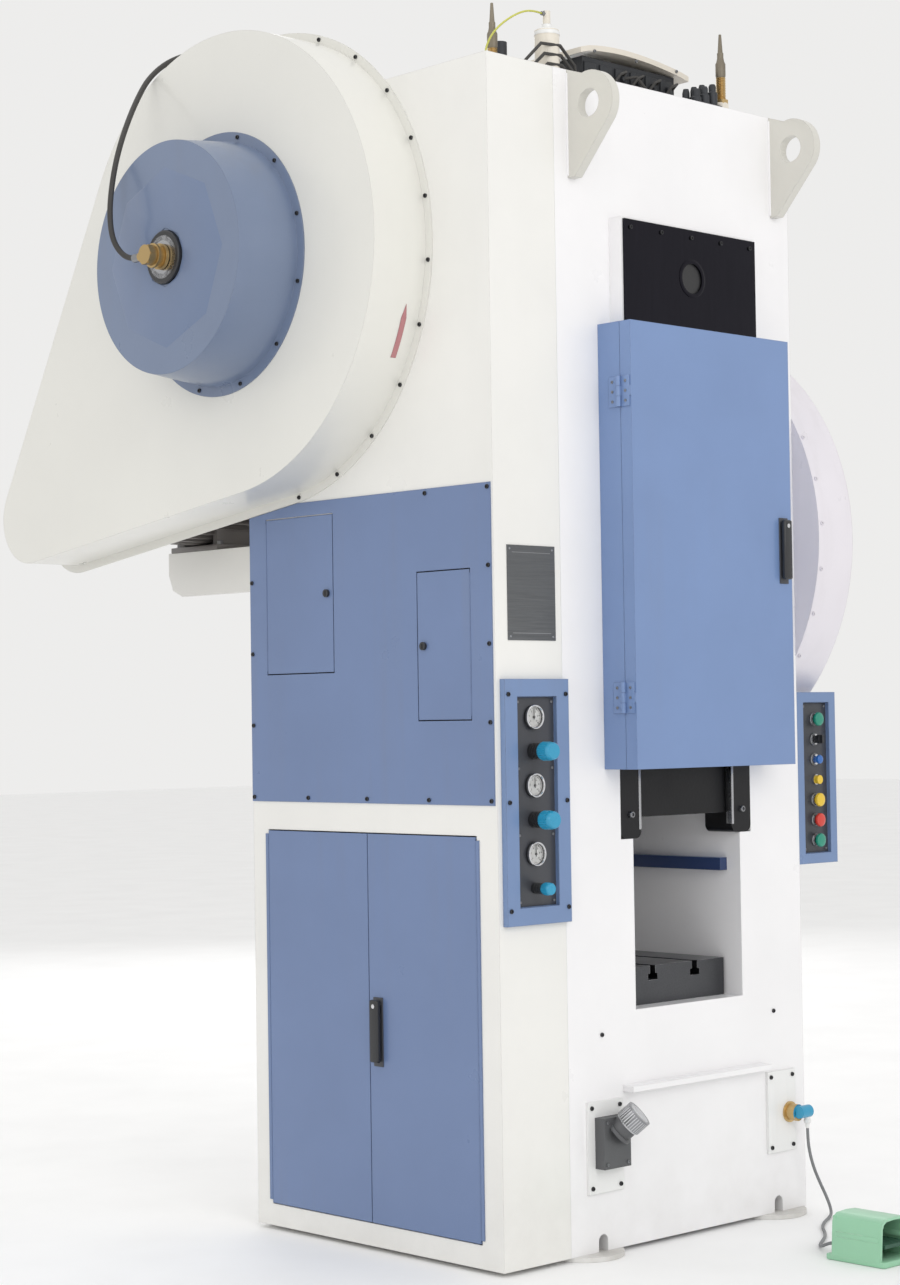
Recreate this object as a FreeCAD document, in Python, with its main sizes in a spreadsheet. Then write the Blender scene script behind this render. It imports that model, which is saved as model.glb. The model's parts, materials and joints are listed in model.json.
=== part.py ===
"""Straight-side geared stamping press, modelled in millimetres.

X runs to the right along the front, Y runs to the back and Z runs up. The origin lies on the floor
under the crossing of the crankshaft axis and the middle of the die space.
"""
import FreeCAD, Part
import Sketcher
import math
import os
import re

V = FreeCAD.Vector

SIZES = [
    # Frame
    ("frame_width", 990), ("frame_depth", 1200), ("press_height", 3200), ("pad_height", 12),
    ("pad_radius", 110), ("pad_inset_x", 105), ("pad_inset_y", 55), ("front_wall", 40),
    ("outer_wall", 30), ("guide_wall", 85), ("crown_wall", 60), ("bed_plate", 80), ("die_width", 451),
    ("bed_height", 647), ("window_top", 2480), ("crown_window_width", 380), ("crown_window_low", 2560),
    ("crown_window_high", 2780), ("crown_block_width", 565), ("crown_block_low", 2517),
    ("crown_block_high", 2815), ("crown_block_depth", 45), ("crown_plate_thick", 8),
    ("crown_plate_margin", 6), ("sight_radius", 42), ("sight_height", 2672), ("lug_thick", 28),
    ("lug_spread", 428), ("lug_reach", 80), ("lug_eye_radius", 38), ("lug_rim", 50), ("lug_drop", 105),
    ("lug_foot", 295), ("lug_rim_start", 75), ("lug_rim_end", 215), ("ledge_width", 590),
    ("ledge_height", 430), ("ledge_thick", 16), ("ledge_reach", 38), ("ledge_shift", 12),
    ("notch_width", 36), ("notch_height", 46), ("notch_spread", 370),
    # Left housing with its cabinets
    ("housing_width", 250), ("housing_depth", 1004), ("sheet", 6), ("cabinet_floor", 50),
    ("door_low", 74), ("door_high", 1140), ("door_front_edge", 80), ("door_rear_edge", 937),
    ("shelf_height", 1160), ("panel_low", 1220), ("panel_high", 2066), ("panel_margin", 7),
    ("panel_sheet", 3), ("panel_flange", 40), ("upper_shelf_height", 2090), ("leaf_gap", 3),
    ("leaf_depth", 20), ("barrel_radius", 1.35), ("barrel_inset", 12), ("hinge_pin", 4),
    ("hinge_knuckle", 7), ("hinge_clearance", 0.5), ("hatch_rear_front", 636),
    ("hatch_rear_width", 294), ("hatch_rear_low", 1581), ("hatch_rear_tall", 447),
    ("hatch_front_front", 87), ("hatch_front_width", 208), ("hatch_front_low", 1443),
    ("hatch_front_tall", 402), ("lock_radius", 11), ("lock_inset", 24), ("lock_clearance", 0.3),
    ("lock_barrel", 6.6), ("lock_head", 8), ("lock_seat_gap", 0.3), ("lock_cam_gap", 4),
    ("lock_cam_thick", 4), ("lock_cam_width", 12), ("lock_cam_tall", 20), ("key_slot_width", 3),
    ("key_slot_tall", 14),
    # Drive
    ("crank_height", 1968), ("crank_throw", 60), ("crank_journal", 90), ("crank_pin", 75),
    ("crank_web", 175), ("crank_web_inner", 62), ("crank_web_outer", 120), ("running_gap", 0.05),
    ("bush_wall", 30), ("gear_module", 16), ("gear_teeth", 80), ("pinion_teeth", 23),
    ("gear_face", 110), ("gear_start", 520), ("tooth_backlash", 2), ("shaft_offset", 293),
    ("shaft_radius", 60), ("gear_cover_depth", 159), ("gear_cover_radius", 695),
    ("pinion_cover_radius", 240), ("cover_sheet", 4), ("guard_depth", 189), ("guard_radius", 655),
    ("guard_tail_radius", 140), ("guard_tail_reach", 1255), ("guard_tail_height", 2088),
    ("guard_flange", 24), ("clutch_hole", 300), ("hub_hole", 110), ("flywheel_radius", 600),
    ("flywheel_face", 140), ("flywheel_gap", 20), ("groove_pitch", 30), ("groove_depth", 16),
    ("groove_top", 18), ("belt_height", 12), ("belt_gap", 0.3), ("rim_thick", 80), ("web_thick", 50),
    ("hub_radius", 150), ("shaft_overhang", 12), ("nose_length", 26), ("nose_radius", 20),
    ("nose_gap", 4), ("gear_hub_factor", 1.8), ("gear_end_length", 12), ("shaft_end_length", 10),
    ("pulley_radius", 130), ("motor_offset", 1060), ("motor_height", 2142), ("motor_radius", 132),
    ("motor_length", 550), ("motor_start", 575), ("motor_shaft", 24), ("hub_clearance", 2),
    ("bracket_left", 445), ("bracket_right", 115), ("bracket_reach", 1190), ("bracket_low", 1850),
    ("bracket_high", 1990), ("bracket_plate", 20), ("bracket_round", 70), ("motor_foot_inset", 30),
    ("motor_foot_length", 300), ("motor_foot_half", 118), ("terminal_start", 160),
    ("terminal_length", 130), ("terminal_half", 60), ("terminal_tall", 75), ("cap_base_radius", 345),
    ("cap_front_radius", 324), ("cap_depth", 190), ("cap_flange", 27), ("cap_sheet", 4),
    ("cap_hole", 75), ("cap_overlap", 8), ("clutch_radius", 280), ("clutch_step", 60),
    ("clutch_gap", 6), ("clutch_plate_start", 10), ("clutch_plate_end", 70), ("clutch_waist", 30),
    ("clutch_drum_start", 90), ("clutch_drum_end", 130), ("clutch_hub_radius", 120),
    ("clutch_end_gap", 14), ("union_radius", 27), ("union_length", 62), ("union_collar", 9),
    ("union_seat", 2), ("union_collar_end", 12), ("elbow_inset", 18), ("elbow_radius", 13),
    ("elbow_reach", 14),
    # Slide, guides and bed
    ("rod_length", 468), ("rod_big_end", 130), ("rod_small_end", 70), ("rod_width", 110),
    ("rod_shank", 90), ("wrist_pin", 35), ("wrist_length", 200), ("slide_bottom", 1170),
    ("slide_tall", 550), ("slide_pocket_floor", 190), ("slide_pocket_width", 240),
    ("slide_pocket_depth", 300), ("slide_front_gap", 25), ("slide_side_gap", 8),
    ("slide_core_floor", 120), ("slide_core_inset", 70), ("slide_core_depth", 280), ("guide_gap", 0.5),
    ("gib_face", 83), ("gib_depth", 100), ("gib_bottom", 1113), ("gib_top", 2250), ("gib_cover", 49),
    ("gib_round", 22), ("bolster_gap", 10.5), ("bolster_depth", 1060), ("bolster_shift", 10),
    ("bolster_thick", 106), ("slot_pitch", 177), ("slot_mouth", 22), ("slot_neck", 22),
    ("slot_foot_width", 40), ("slot_foot", 18), ("rail_height", 1003), ("rail_tall", 36),
    ("rail_thick", 30), ("rail_length", 1100),
    # Front door
    ("guard_door_width", 670), ("guard_door_low", 1305), ("guard_door_high", 2517),
    ("surround_depth", 80), ("surround_rim", 24), ("leaf_front_depth", 40), ("door_sheet", 3),
    ("door_joint_gap", 1), ("knuckle_gap", 0.3), ("knuckle_relief", 0.2), ("strap_relief", 0.5),
    ("tab_overlap", 1), ("leaf_trim", 3), ("front_hinge_high", 2326), ("front_hinge_low", 1498),
    ("front_hinge_tall", 84), ("front_hinge_leaf", 40), ("front_handle_x", 298),
    ("front_handle_low", 1832), ("handle_length", 170), ("handle_width", 34), ("handle_lift", 6),
    ("handle_thick", 16), ("side_handle_low", 516), ("side_handle_inset", 36),
    # Front fittings
    ("name_left", 698), ("name_width", 179), ("name_low", 1652), ("name_tall", 251), ("name_thick", 2),
    ("air_left", 730), ("air_width", 239), ("air_low", 905), ("air_tall", 645), ("air_depth", 18),
    ("air_rim", 46), ("air_recess", 12), ("gauge_radius", 31), ("gauge_depth", 14), ("gauge_wall", 3),
    ("gauge_high", 1450), ("gauge_pitch", 180), ("needle_length", 22), ("needle_pivot", 1.5),
    ("air_centre", 620), ("knob_radius", 25), ("knob_length", 46), ("collar_share", 0.8),
    ("collar_length", 36), ("knob_drop", 90), ("small_knob_radius", 17), ("small_knob_length", 30),
    ("knob_gap", 0.3), ("needle_hub", 3.6), ("needle_thick", 2), ("hand_thick", 1), ("hand_width", 1.8),
    ("station_width", 180), ("station_depth", 64), ("station_low", 1006), ("station_tall", 506),
    ("station_rim", 30), ("station_recess", 12), ("button_high", 1432), ("button_pitch", 59.6),
    ("button_head", 20), ("small_head", 13), ("button_stem", 9), ("bezel_radius", 15),
    ("bezel_height", 10), ("button_travel", 5), ("head_thick", 13), ("stem_gap", 0.3), ("head_gap", 1),
    ("stem_inside", 13), ("station_back", 8), ("grip_width", 8), ("grip_lift", 8), ("grip_thick", 9),
    ("grip_tall", 24), ("port_thick", 8), ("socket_plate_left", 431), ("socket_plate_width", 138),
    ("socket_plate_low", 170), ("socket_plate_tall", 246), ("cable_plate_left", 321),
    ("cable_plate_width", 124), ("cable_plate_low", 184), ("cable_plate_tall", 234),
    ("connector_x", 416), ("connector_z", 295), ("connector_radius", 24), ("connector_length", 34),
    ("connector_head_left", 16), ("connector_head_drop", 14), ("connector_head_lift", 4),
    ("connector_head_radius", 18), ("connector_head_length", 46), ("gland_x", 22), ("gland_length", 30),
    ("gland_radius", 9), ("socket_base_x", 26), ("socket_base_z", 68), ("socket_base_width", 104),
    ("socket_base_depth", 34), ("socket_base_tall", 136), ("socket_seat_x", 82),
    ("socket_seat_depth", 28), ("socket_seat_z", 159), ("socket_neck_radius", 34),
    ("socket_neck_length", 56), ("socket_collar_radius", 39), ("socket_collar_length", 42),
    ("socket_collar_start", 41), ("screw_radius", 6), ("screw_head", 4), ("panel_screw_edge", 10),
    ("panel_screw_inset", 12), ("port_screw_x", 14), ("port_screw_z", 16), ("air_screw_x", 12),
    ("air_screw_z", 40), ("crown_screw_x", 30), ("crown_screw_z", 28), ("plug_drop", 56),
    ("plug_left", 6), ("plug_right", 9),
    # Crown
    ("spindle_height", 272), ("spindle_radius", 15), ("spindle_base", 34), ("spindle_foot", 70),
    ("spindle_tip", 90), ("spindle_point", 4), ("spindle_bar_start", 60), ("spindle_bar_trim", 150),
    ("rear_spindle_x", 375), ("rear_spindle_y", 250), ("front_spindle_x", 375),
    ("front_spindle_y", 454), ("chest_left", 60), ("chest_front", 300), ("chest_length", 400),
    ("chest_width", 200), ("chest_tall", 165), ("valve_left", 330), ("valve_front", 245),
    ("valve_side", 90), ("valve_tall", 120), ("valve_top_x", 300), ("valve_top_y", 205),
    ("valve_top_radius", 20), ("valve_top_tall", 62), ("valve_sink", 2), ("manifold_left", 241),
    ("manifold_front", 235), ("manifold_lift", 20), ("manifold_length", 182), ("manifold_side", 60),
    ("bottle_x", 205), ("bottle_y", 300), ("bottle_radius", 36), ("bottle_tall", 210),
    ("bottle_neck_radius", 11), ("bottle_neck_tall", 58), ("bottle_sink", 1), ("bottle_elbow_x", 226),
    ("bottle_elbow_z", 258), ("bottle_elbow_radius", 6), ("bottle_elbow_length", 20), ("lid_left", 85),
    ("lid_front", 320), ("lid_length", 470), ("lid_width", 240), ("lid_tall", 48),
    # Hoses and cords
    ("hose_diameter", 16), ("tube_diameter", 6), ("cable_diameter", 9),
    # Foot switch
    ("switch_x", 66), ("switch_y", 1155), ("switch_width", 130), ("switch_depth", 190),
    ("switch_tall", 125), ("switch_wall", 8), ("treadle_thick", 10), ("axle_gap", 0.3),
    ("axle_extra", 2),
]

doc = FreeCAD.newDocument("stamping_press")
sheet = doc.addObject("Spreadsheet::Sheet", "sizes")
for row, (alias, number) in enumerate(SIZES, start=1):
    sheet.set(f"A{row}", alias)
    sheet.set(f"B{row}", str(number))
    sheet.setAlias(f"B{row}", alias)
doc.recompute()
ALIASES = {alias for alias, number in SIZES}
NODES = []


def linked(text):
    """Point every size named in an expression at its cell."""
    def cell(found):
        word = found.group(0)
        return f"sizes.{word}" if word in ALIASES else word
    return re.sub(r"[A-Za-z_]\w*", cell, str(text))


def size(text):
    """The present value of an expression in the sheet's sizes."""
    return float(sheet.evalExpression(linked(text)))


def bind(thing, **properties):
    for name, text in properties.items():
        thing.setExpression(name, linked(text))


def locate(thing, x, y, z):
    for axis, text in zip("xyz", (x, y, z)):
        thing.setExpression(f"Placement.Base.{axis}", linked(text))


def box(name, x, y, z, length, width, height):
    thing = doc.addObject("Part::Box", name)
    bind(thing, Length=length, Width=width, Height=height)
    locate(thing, x, y, z)
    return thing


TURNS = {
    "x": FreeCAD.Rotation(V(0, 1, 0), 90),
    "y": FreeCAD.Rotation(V(1, 0, 0), -90),
    "z": FreeCAD.Rotation(),
}


def rod(name, axis, x, y, z, radius, length):
    """A cylinder that starts at x, y, z and runs along +axis."""
    thing = doc.addObject("Part::Cylinder", name)
    thing.Placement = FreeCAD.Placement(V(), TURNS[axis])
    bind(thing, Radius=radius, Height=length)
    locate(thing, x, y, z)
    return thing


def fuse(name, pieces):
    thing = doc.addObject("Part::MultiFuse", name)
    thing.Shapes = pieces
    return thing


def group(name, pieces):
    thing = doc.addObject("Part::Compound", name)
    thing.Links = pieces
    return thing


def cut(name, base, tools):
    thing = doc.addObject("Part::Cut", name)
    thing.Base = base
    thing.Tool = tools[0] if len(tools) == 1 else fuse(f"{name}_tools", tools)
    return thing


def feature(name, shape):
    thing = doc.addObject("Part::Feature", name)
    thing.Shape = shape
    return thing


def ring(name, axis, x, y, z, outer, inner, length):
    shell = rod(f"{name}_outer", axis, x, y, z, outer, length)
    return cut(name, shell, [rod(f"{name}_bore", axis, x, y, z, inner, length)])


def node(name, thing):
    """Mark an object as a finished sub-part."""
    thing.Label = name
    NODES.append(thing)
    return thing


def plane_of(body, role):
    return [item for item in body.Origin.OriginFeatures if item.Role == role][0]


def sketch_on(body, name, role, points):
    """A closed outline whose corners are bound to the sheet."""
    sketch = body.newObject("Sketcher::SketchObject", name)
    sketch.AttachmentSupport = [(plane_of(body, role), "")]
    sketch.MapMode = "FlatFace"
    corners = [V(size(across), size(up), 0) for across, up in points]
    count = len(corners)
    for index in range(count):
        sketch.addGeometry(Part.LineSegment(corners[index], corners[(index + 1) % count]), False)
    for index in range(count):
        sketch.addConstraint(Sketcher.Constraint("Coincident", index, 2, (index + 1) % count, 1))
    for index, pair in enumerate(points):
        for kind, text in zip(("DistanceX", "DistanceY"), pair):
            number = sketch.addConstraint(Sketcher.Constraint(kind, -1, 1, index, 1, size(text)))
            sketch.renameConstraint(number, f"{kind}_{index}")
            sketch.setExpression(f"Constraints.{kind}_{index}", linked(text))
    return sketch


def padded(name, role, points, length, x=0, y=0, z=0):
    """A body made by padding one outline along its plane's normal."""
    body = doc.addObject("PartDesign::Body", name)
    profile = sketch_on(body, f"{name}_outline", role, points)
    pad = body.newObject("PartDesign::Pad", f"{name}_pad")
    pad.Profile = profile
    bind(pad, Length=length)
    locate(body, x, y, z)
    return body


def turned(name, points, x=0, y=0, z=0):
    """A body turned about a line along X; each point is (along the axis, radius)."""
    body = doc.addObject("PartDesign::Body", name)
    profile = sketch_on(body, f"{name}_outline", "XY_Plane", points)
    turn = body.newObject("PartDesign::Revolution", f"{name}_turn")
    turn.Profile = profile
    turn.ReferenceAxis = (profile, ["H_Axis"])
    turn.Angle = 360
    locate(body, x, y, z)
    return body


SHAFT_Y = "shaft_offset"
GEAR_CENTRES = "gear_module * (gear_teeth + pinion_teeth) / 2"
SHAFT_Z = f"(crank_height + sqrt(({GEAR_CENTRES}) ^ 2 - shaft_offset ^ 2))"
HALF_WIDTH = "frame_width / 2"
HALF_DEPTH = "frame_depth / 2"
HALF_DIE = "die_width / 2"
HOUSING_LEFT = "(frame_width / 2 + housing_width)"
DOOR_FRONT = "(surround_depth + leaf_front_depth)"


def press_frame():
    """Welded frame: bed, two box uprights and the crown, open along the die space."""
    block = box("frame_block", f"-{HALF_WIDTH}", f"-{HALF_DEPTH}", "pad_height", "frame_width",
                "frame_depth", "press_height - pad_height")
    crown_block = box("crown_block", "-crown_block_width / 2", f"-{HALF_DEPTH} - crown_block_depth",
                      "crown_block_low", "crown_block_width", "crown_block_depth",
                      "crown_block_high - crown_block_low")
    ledge = box("drip_ledge", "ledge_shift - ledge_width / 2", f"-{HALF_DEPTH} - ledge_reach",
                "ledge_height", "ledge_width", "ledge_reach", "ledge_thick")
    lugs = []
    for side in (-1, 1):
        for end in (-1, 1):
            lugs.append(lifting_lug(f"lug_{side}_{end}", side, end))
    solid = fuse("frame_solid", [block, crown_block, ledge] + lugs)
    inside = "frame_depth - 2 * front_wall"
    openings = [
        box("die_space", f"-{HALF_DIE}", f"-{HALF_DEPTH}", "bed_height", "die_width", "frame_depth",
            "window_top - bed_height"),
        box("crown_cavity", f"-{HALF_DIE}", f"front_wall - {HALF_DEPTH}", "window_top", "die_width",
            inside, "press_height - crown_wall - window_top"),
        box("bed_cavity", f"-{HALF_DIE}", f"front_wall - {HALF_DEPTH}", "pad_height", "die_width",
            inside, "bed_height - bed_plate - pad_height"),
        box("crown_window", "-crown_window_width / 2", f"-{HALF_DEPTH} - crown_block_depth",
            "crown_window_low", "crown_window_width", "crown_block_depth + front_wall",
            "crown_window_high - crown_window_low"),
        rod("crank_bore", "x", f"-{HALF_DIE} - guide_wall", 0, "crank_height",
            "crank_journal + bush_wall", f"{HALF_DIE} + guide_wall + {HALF_WIDTH}"),
        rod("shaft_bore", "x", f"-{HALF_WIDTH}", SHAFT_Y, SHAFT_Z, "shaft_radius + bush_wall",
            "frame_width"),
    ]
    for name, edge in (("front", f"-{HALF_DEPTH}"), ("rear", f"{HALF_DEPTH} - gib_depth")):
        openings.append(box(f"gib_recess_{name}", f"-{HALF_DIE} - gib_cover", edge, "gib_bottom",
                            "die_width + 2 * gib_cover", "gib_depth", "window_top - gib_bottom"))
    cavity_width = f"{HALF_WIDTH} - outer_wall - {HALF_DIE} - guide_wall"
    for name, left in (("left", f"outer_wall - {HALF_WIDTH}"), ("right", f"{HALF_DIE} + guide_wall")):
        openings.append(box(f"upright_cavity_{name}", left, f"front_wall - {HALF_DEPTH}", "pad_height",
                            cavity_width, inside, "press_height - crown_wall - pad_height"))
    for name, sign in (("left", "-"), ("right", "")):
        openings.append(box(f"notch_{name}", f"{sign}notch_spread - notch_width / 2", f"-{HALF_DEPTH}",
                            "pad_height", "notch_width", "front_wall",
                            "notch_height - notch_width / 2"))
        openings.append(rod(f"notch_round_{name}", "y", f"{sign}notch_spread", f"-{HALF_DEPTH}",
                            "pad_height + notch_height - notch_width / 2", "notch_width / 2",
                            "front_wall"))
    return node("press_frame", cut("press_frame", solid, openings))


def lifting_lug(name, side, end):
    """A tapering plate with an eye, welded to the front or the back under the crown's top."""
    reach = size("lug_reach")
    eye_height = size("press_height") - size("lug_drop")
    rim = size("lug_eye_radius") + size("lug_rim")
    face = size(HALF_DEPTH)
    top = size("press_height")
    foot = top - size("lug_foot")
    start = math.radians(size("lug_rim_start"))
    finish = math.radians(size("lug_rim_end"))
    middle = (start + finish) / 2

    def rim_point(angle):
        return V(0, -reach + rim * math.cos(angle), eye_height + rim * math.sin(angle))
    corners = [V(0, 0, foot), V(0, 0, top)]
    edges = [Part.LineSegment(corners[0], corners[1]).toShape()]
    edges.append(Part.LineSegment(corners[1], rim_point(start)).toShape())
    edges.append(Part.Arc(rim_point(start), rim_point(middle), rim_point(finish)).toShape())
    low_corner = V(0, -reach / 3, foot)
    edges.append(Part.LineSegment(rim_point(finish), low_corner).toShape())
    edges.append(Part.LineSegment(low_corner, corners[0]).toShape())
    plate = Part.Face(Part.Wire(edges)).extrude(V(size("lug_thick"), 0, 0))
    eye = Part.makeCylinder(size("lug_eye_radius"), size("lug_thick"), V(0, -reach, eye_height), V(1, 0, 0))
    shape = plate.cut(eye)
    if end > 0:
        shape = shape.mirror(V(0, 0, 0), V(0, 1, 0))
    lug = feature(name, shape)
    lug.Placement = FreeCAD.Placement(V(side * size("lug_spread") - size("lug_thick") / 2, end * face, 0),
                                      FreeCAD.Rotation())
    return lug


def machine_pads():
    pads = []
    for side in ("-", ""):
        for end in ("-", ""):
            pads.append(rod(f"pad{len(pads)}", "z", f"{side}({HALF_WIDTH} - pad_inset_x)",
                            f"{end}({HALF_DEPTH} - pad_inset_y)", 0, "pad_radius", "pad_height"))
    node("machine_pads", group("machine_pads", pads))


def side_housing():
    """Sheet housing on the left: a cabinet below, a middle bay and the shaft bay above."""
    shell = box("housing_block", f"-{HOUSING_LEFT}", f"-{HALF_DEPTH}", "pad_height", "housing_width",
                "housing_depth", "press_height - pad_height")
    levels = [("cabinet", "cabinet_floor", "shelf_height"),
              ("middle", "shelf_height + sheet", "upper_shelf_height"),
              ("upper", "upper_shelf_height + sheet", "press_height - sheet")]
    openings = []
    for name, low, high in levels:
        openings.append(box(f"bay_{name}", f"sheet - {HOUSING_LEFT}", f"sheet - {HALF_DEPTH}", low,
                            "housing_width - 2 * sheet", "housing_depth - 2 * sheet",
                            f"{high} - ({low})"))
    openings.append(box("cabinet_mouth", f"-{HOUSING_LEFT}", f"door_front_edge - {HALF_DEPTH}",
                        "door_low", "sheet", "door_rear_edge - door_front_edge",
                        "door_high - door_low"))
    openings.append(box("middle_mouth", f"-{HOUSING_LEFT}", f"panel_flange - {HALF_DEPTH}",
                        "panel_low + panel_flange", "sheet", "housing_depth - 2 * panel_flange",
                        "panel_high - panel_low - 2 * panel_flange"))
    openings.append(rod("housing_shaft_hole", "x", f"-{HOUSING_LEFT}", SHAFT_Y, SHAFT_Z,
                        "shaft_radius + bush_wall", "housing_width"))
    housing = cut("housing_shell", shell, openings)
    tall = "door_high - door_low"
    hinges = []
    for name, y, side in (("front", f"(door_front_edge + leaf_gap / 2 - {HALF_DEPTH})", "-"),
                          ("rear", f"(door_rear_edge - leaf_gap / 2 - {HALF_DEPTH})", "")):
        barrel = hinge_barrel(f"barrel_{name}", y, "door_low", tall)
        strip_y = f"{y} - barrel_inset" if side else y
        strip = box(f"hinge_strip_{name}", f"-{HOUSING_LEFT} - panel_sheet", strip_y,
                    "door_low + barrel_inset", "panel_sheet", "barrel_inset", f"{tall} - 2 * barrel_inset")
        hinges.append(fuse(f"piano_hinge_{name}", [barrel, strip]))
    node("side_housing", group("side_housing", [housing] + hinges))


def hinge_barrel(name, y, low, tall):
    """The long thin barrel of a piano hinge, in the gap beside a leaf's hinged edge."""
    return rod(name, "z", f"-{HOUSING_LEFT} - panel_sheet", y, f"{low} + barrel_inset", "barrel_radius",
               f"{tall} - 2 * barrel_inset")


HATCHES = {
    "hatch_rear": ("hatch_rear_front", "hatch_rear_width", "hatch_rear_low", "hatch_rear_tall"),
    "hatch_front": ("hatch_front_front", "hatch_front_width", "hatch_front_low", "hatch_front_tall"),
}


def side_panel():
    """Blue cover sheet over the middle bay, with two small inspection hatches and their locks."""
    outside = f"-{HOUSING_LEFT} - panel_sheet"
    sheet_metal = box("panel_blank", outside, f"panel_margin - {HALF_DEPTH}", "panel_low", "panel_sheet",
                      "housing_depth - panel_margin", "panel_high - panel_low")
    openings = []
    for name, (front, wide, low, tall) in HATCHES.items():
        openings.append(box(f"{name}_mouth", outside, f"{front} - {HALF_DEPTH}", low, "panel_sheet",
                            wide, tall))
    guard_room = size("guard_flange + leaf_gap / 2")
    openings.append(feature("guard_relief", teardrop(
        size("guard_radius") + guard_room, size("guard_tail_radius") + guard_room,
        (size(SHAFT_Y), size(SHAFT_Z)), (size("guard_tail_reach"), size("guard_tail_height")),
        size(outside), size("panel_sheet"))))
    front, wide, low, tall = HATCHES["hatch_rear"]
    barrels = [hinge_barrel("barrel_hatch_rear", f"{front} + {wide} - leaf_gap / 2 - {HALF_DEPTH}", low,
                            tall)]
    front, wide, low, tall = HATCHES["hatch_front"]
    barrels.append(hinge_barrel("barrel_hatch_front", f"{front} + leaf_gap / 2 - {HALF_DEPTH}", low, tall))
    node("side_panel", group("side_panel", [cut("panel_sheet_metal", sheet_metal, openings)] + barrels))
    for name, (front, wide, low, tall) in HATCHES.items():
        leaf = box(f"{name}_leaf", outside, f"{front} + leaf_gap - {HALF_DEPTH}", f"{low} + leaf_gap",
                   "panel_sheet", f"{wide} - 2 * leaf_gap", f"{tall} - 2 * leaf_gap")
        if name == "hatch_rear":
            lock_y = f"({front} + leaf_gap + lock_inset - {HALF_DEPTH})"
        else:
            lock_y = f"({front} + {wide} - leaf_gap - lock_inset - {HALF_DEPTH})"
        lock_z = f"({low} + {tall} / 2)"
        bore = rod(f"{name}_bore", "x", outside, lock_y, lock_z, "lock_barrel + lock_clearance",
                   "panel_sheet")
        node(name, cut(name, leaf, [bore]))
        barrel = rod(f"{name}_barrel", "x", f"{outside} - lock_head / 2", lock_y, lock_z, "lock_barrel",
                     "lock_head / 2 + panel_sheet + lock_cam_gap + lock_cam_thick")
        head = rod(f"{name}_head", "x", f"{outside} - lock_head", lock_y, lock_z, "lock_radius",
                   "lock_head - lock_seat_gap")
        key_slot = box(f"{name}_key", f"{outside} - lock_head", f"{lock_y} - key_slot_width / 2",
                       f"{lock_z} - key_slot_tall / 2", "key_slot_width", "key_slot_width", "key_slot_tall")
        cam = box(f"{name}_cam", f"lock_cam_gap - {HOUSING_LEFT}", f"{lock_y} - lock_cam_width / 2",
                  f"{lock_z} - lock_cam_width / 2", "lock_cam_thick", "lock_cam_width", "lock_cam_tall")
        turned_lock = fuse(f"{name}_lock_body", [barrel, head, cam])
        node(f"{name}_lock", cut(f"{name}_lock", turned_lock, [key_slot]))


def cabinet_doors():
    """Two folded leaves below, hinged on their outer edges, and the swing handle."""
    middle = f"((door_front_edge + door_rear_edge) / 2 - {HALF_DEPTH})"
    leaf_width = "(door_rear_edge - door_front_edge) / 2 - leaf_gap * 1.5"
    outside = f"-{HOUSING_LEFT} - panel_sheet"
    starts = {"cabinet_door_front": f"door_front_edge + leaf_gap - {HALF_DEPTH}",
              "cabinet_door_rear": f"{middle} + leaf_gap / 2"}
    handle_y = f"({middle} - leaf_gap / 2 - side_handle_inset)"
    for name, start in starts.items():
        leaf = box(f"{name}_blank", outside, start, "door_low + leaf_gap", "leaf_depth", leaf_width,
                   "door_high - door_low - 2 * leaf_gap")
        hollow = box(f"{name}_fold", f"{outside} + door_sheet", f"{start} + door_sheet",
                     "door_low + leaf_gap + door_sheet", "leaf_depth - door_sheet",
                     f"{leaf_width} - 2 * door_sheet",
                     "door_high - door_low - 2 * leaf_gap - 2 * door_sheet")
        node(name, cut(name, leaf, [hollow]))
    node("cabinet_handle", swing_handle("cabinet_handle", "x", outside, handle_y, "side_handle_low"))


def swing_handle(name, axis, x, y, low):
    """A flat lever on a round boss; it lies along Z and turns about its boss."""
    boss_z = f"({low} + handle_length - handle_width / 2)"
    if axis == "x":
        boss = rod(f"{name}_boss", "x", f"{x} - handle_lift", y, boss_z, "handle_width / 2",
                   "handle_lift")
        lever = box(f"{name}_lever", f"{x} - handle_lift - handle_thick", f"{y} - handle_width / 2", low,
                    "handle_thick", "handle_width", "handle_length")
    else:
        boss = rod(f"{name}_boss", "y", x, f"{y} - handle_lift", boss_z, "handle_width / 2",
                   "handle_lift")
        lever = box(f"{name}_lever", f"{x} - handle_width / 2", f"{y} - handle_lift - handle_thick", low,
                    "handle_width", "handle_thick", "handle_length")
    return fuse(name, [boss, lever])


def teardrop(radius, tail_radius, centre, tail_centre, start, depth):
    """A round-ended plate through two circles, standing in the YZ plane."""
    across = tail_centre[0] - centre[0]
    up = tail_centre[1] - centre[1]
    apart = math.hypot(across, up)
    heading = math.atan2(up, across)
    spread = math.acos((radius - tail_radius) / apart)

    def on(circle_centre, circle_radius, angle):
        return V(start, circle_centre[0] + circle_radius * math.cos(angle),
                 circle_centre[1] + circle_radius * math.sin(angle))
    upper = heading + spread
    lower = heading - spread
    big_far = Part.Arc(on(centre, radius, upper), on(centre, radius, heading + math.pi),
                       on(centre, radius, lower))
    small_far = Part.Arc(on(tail_centre, tail_radius, lower), on(tail_centre, tail_radius, heading),
                         on(tail_centre, tail_radius, upper))
    edges = [big_far.toShape(),
             Part.LineSegment(on(centre, radius, lower), on(tail_centre, tail_radius, lower)).toShape(),
             small_far.toShape(),
             Part.LineSegment(on(tail_centre, tail_radius, upper), on(centre, radius, upper)).toShape()]
    return Part.Face(Part.Wire(edges)).extrude(V(depth, 0, 0))


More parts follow.
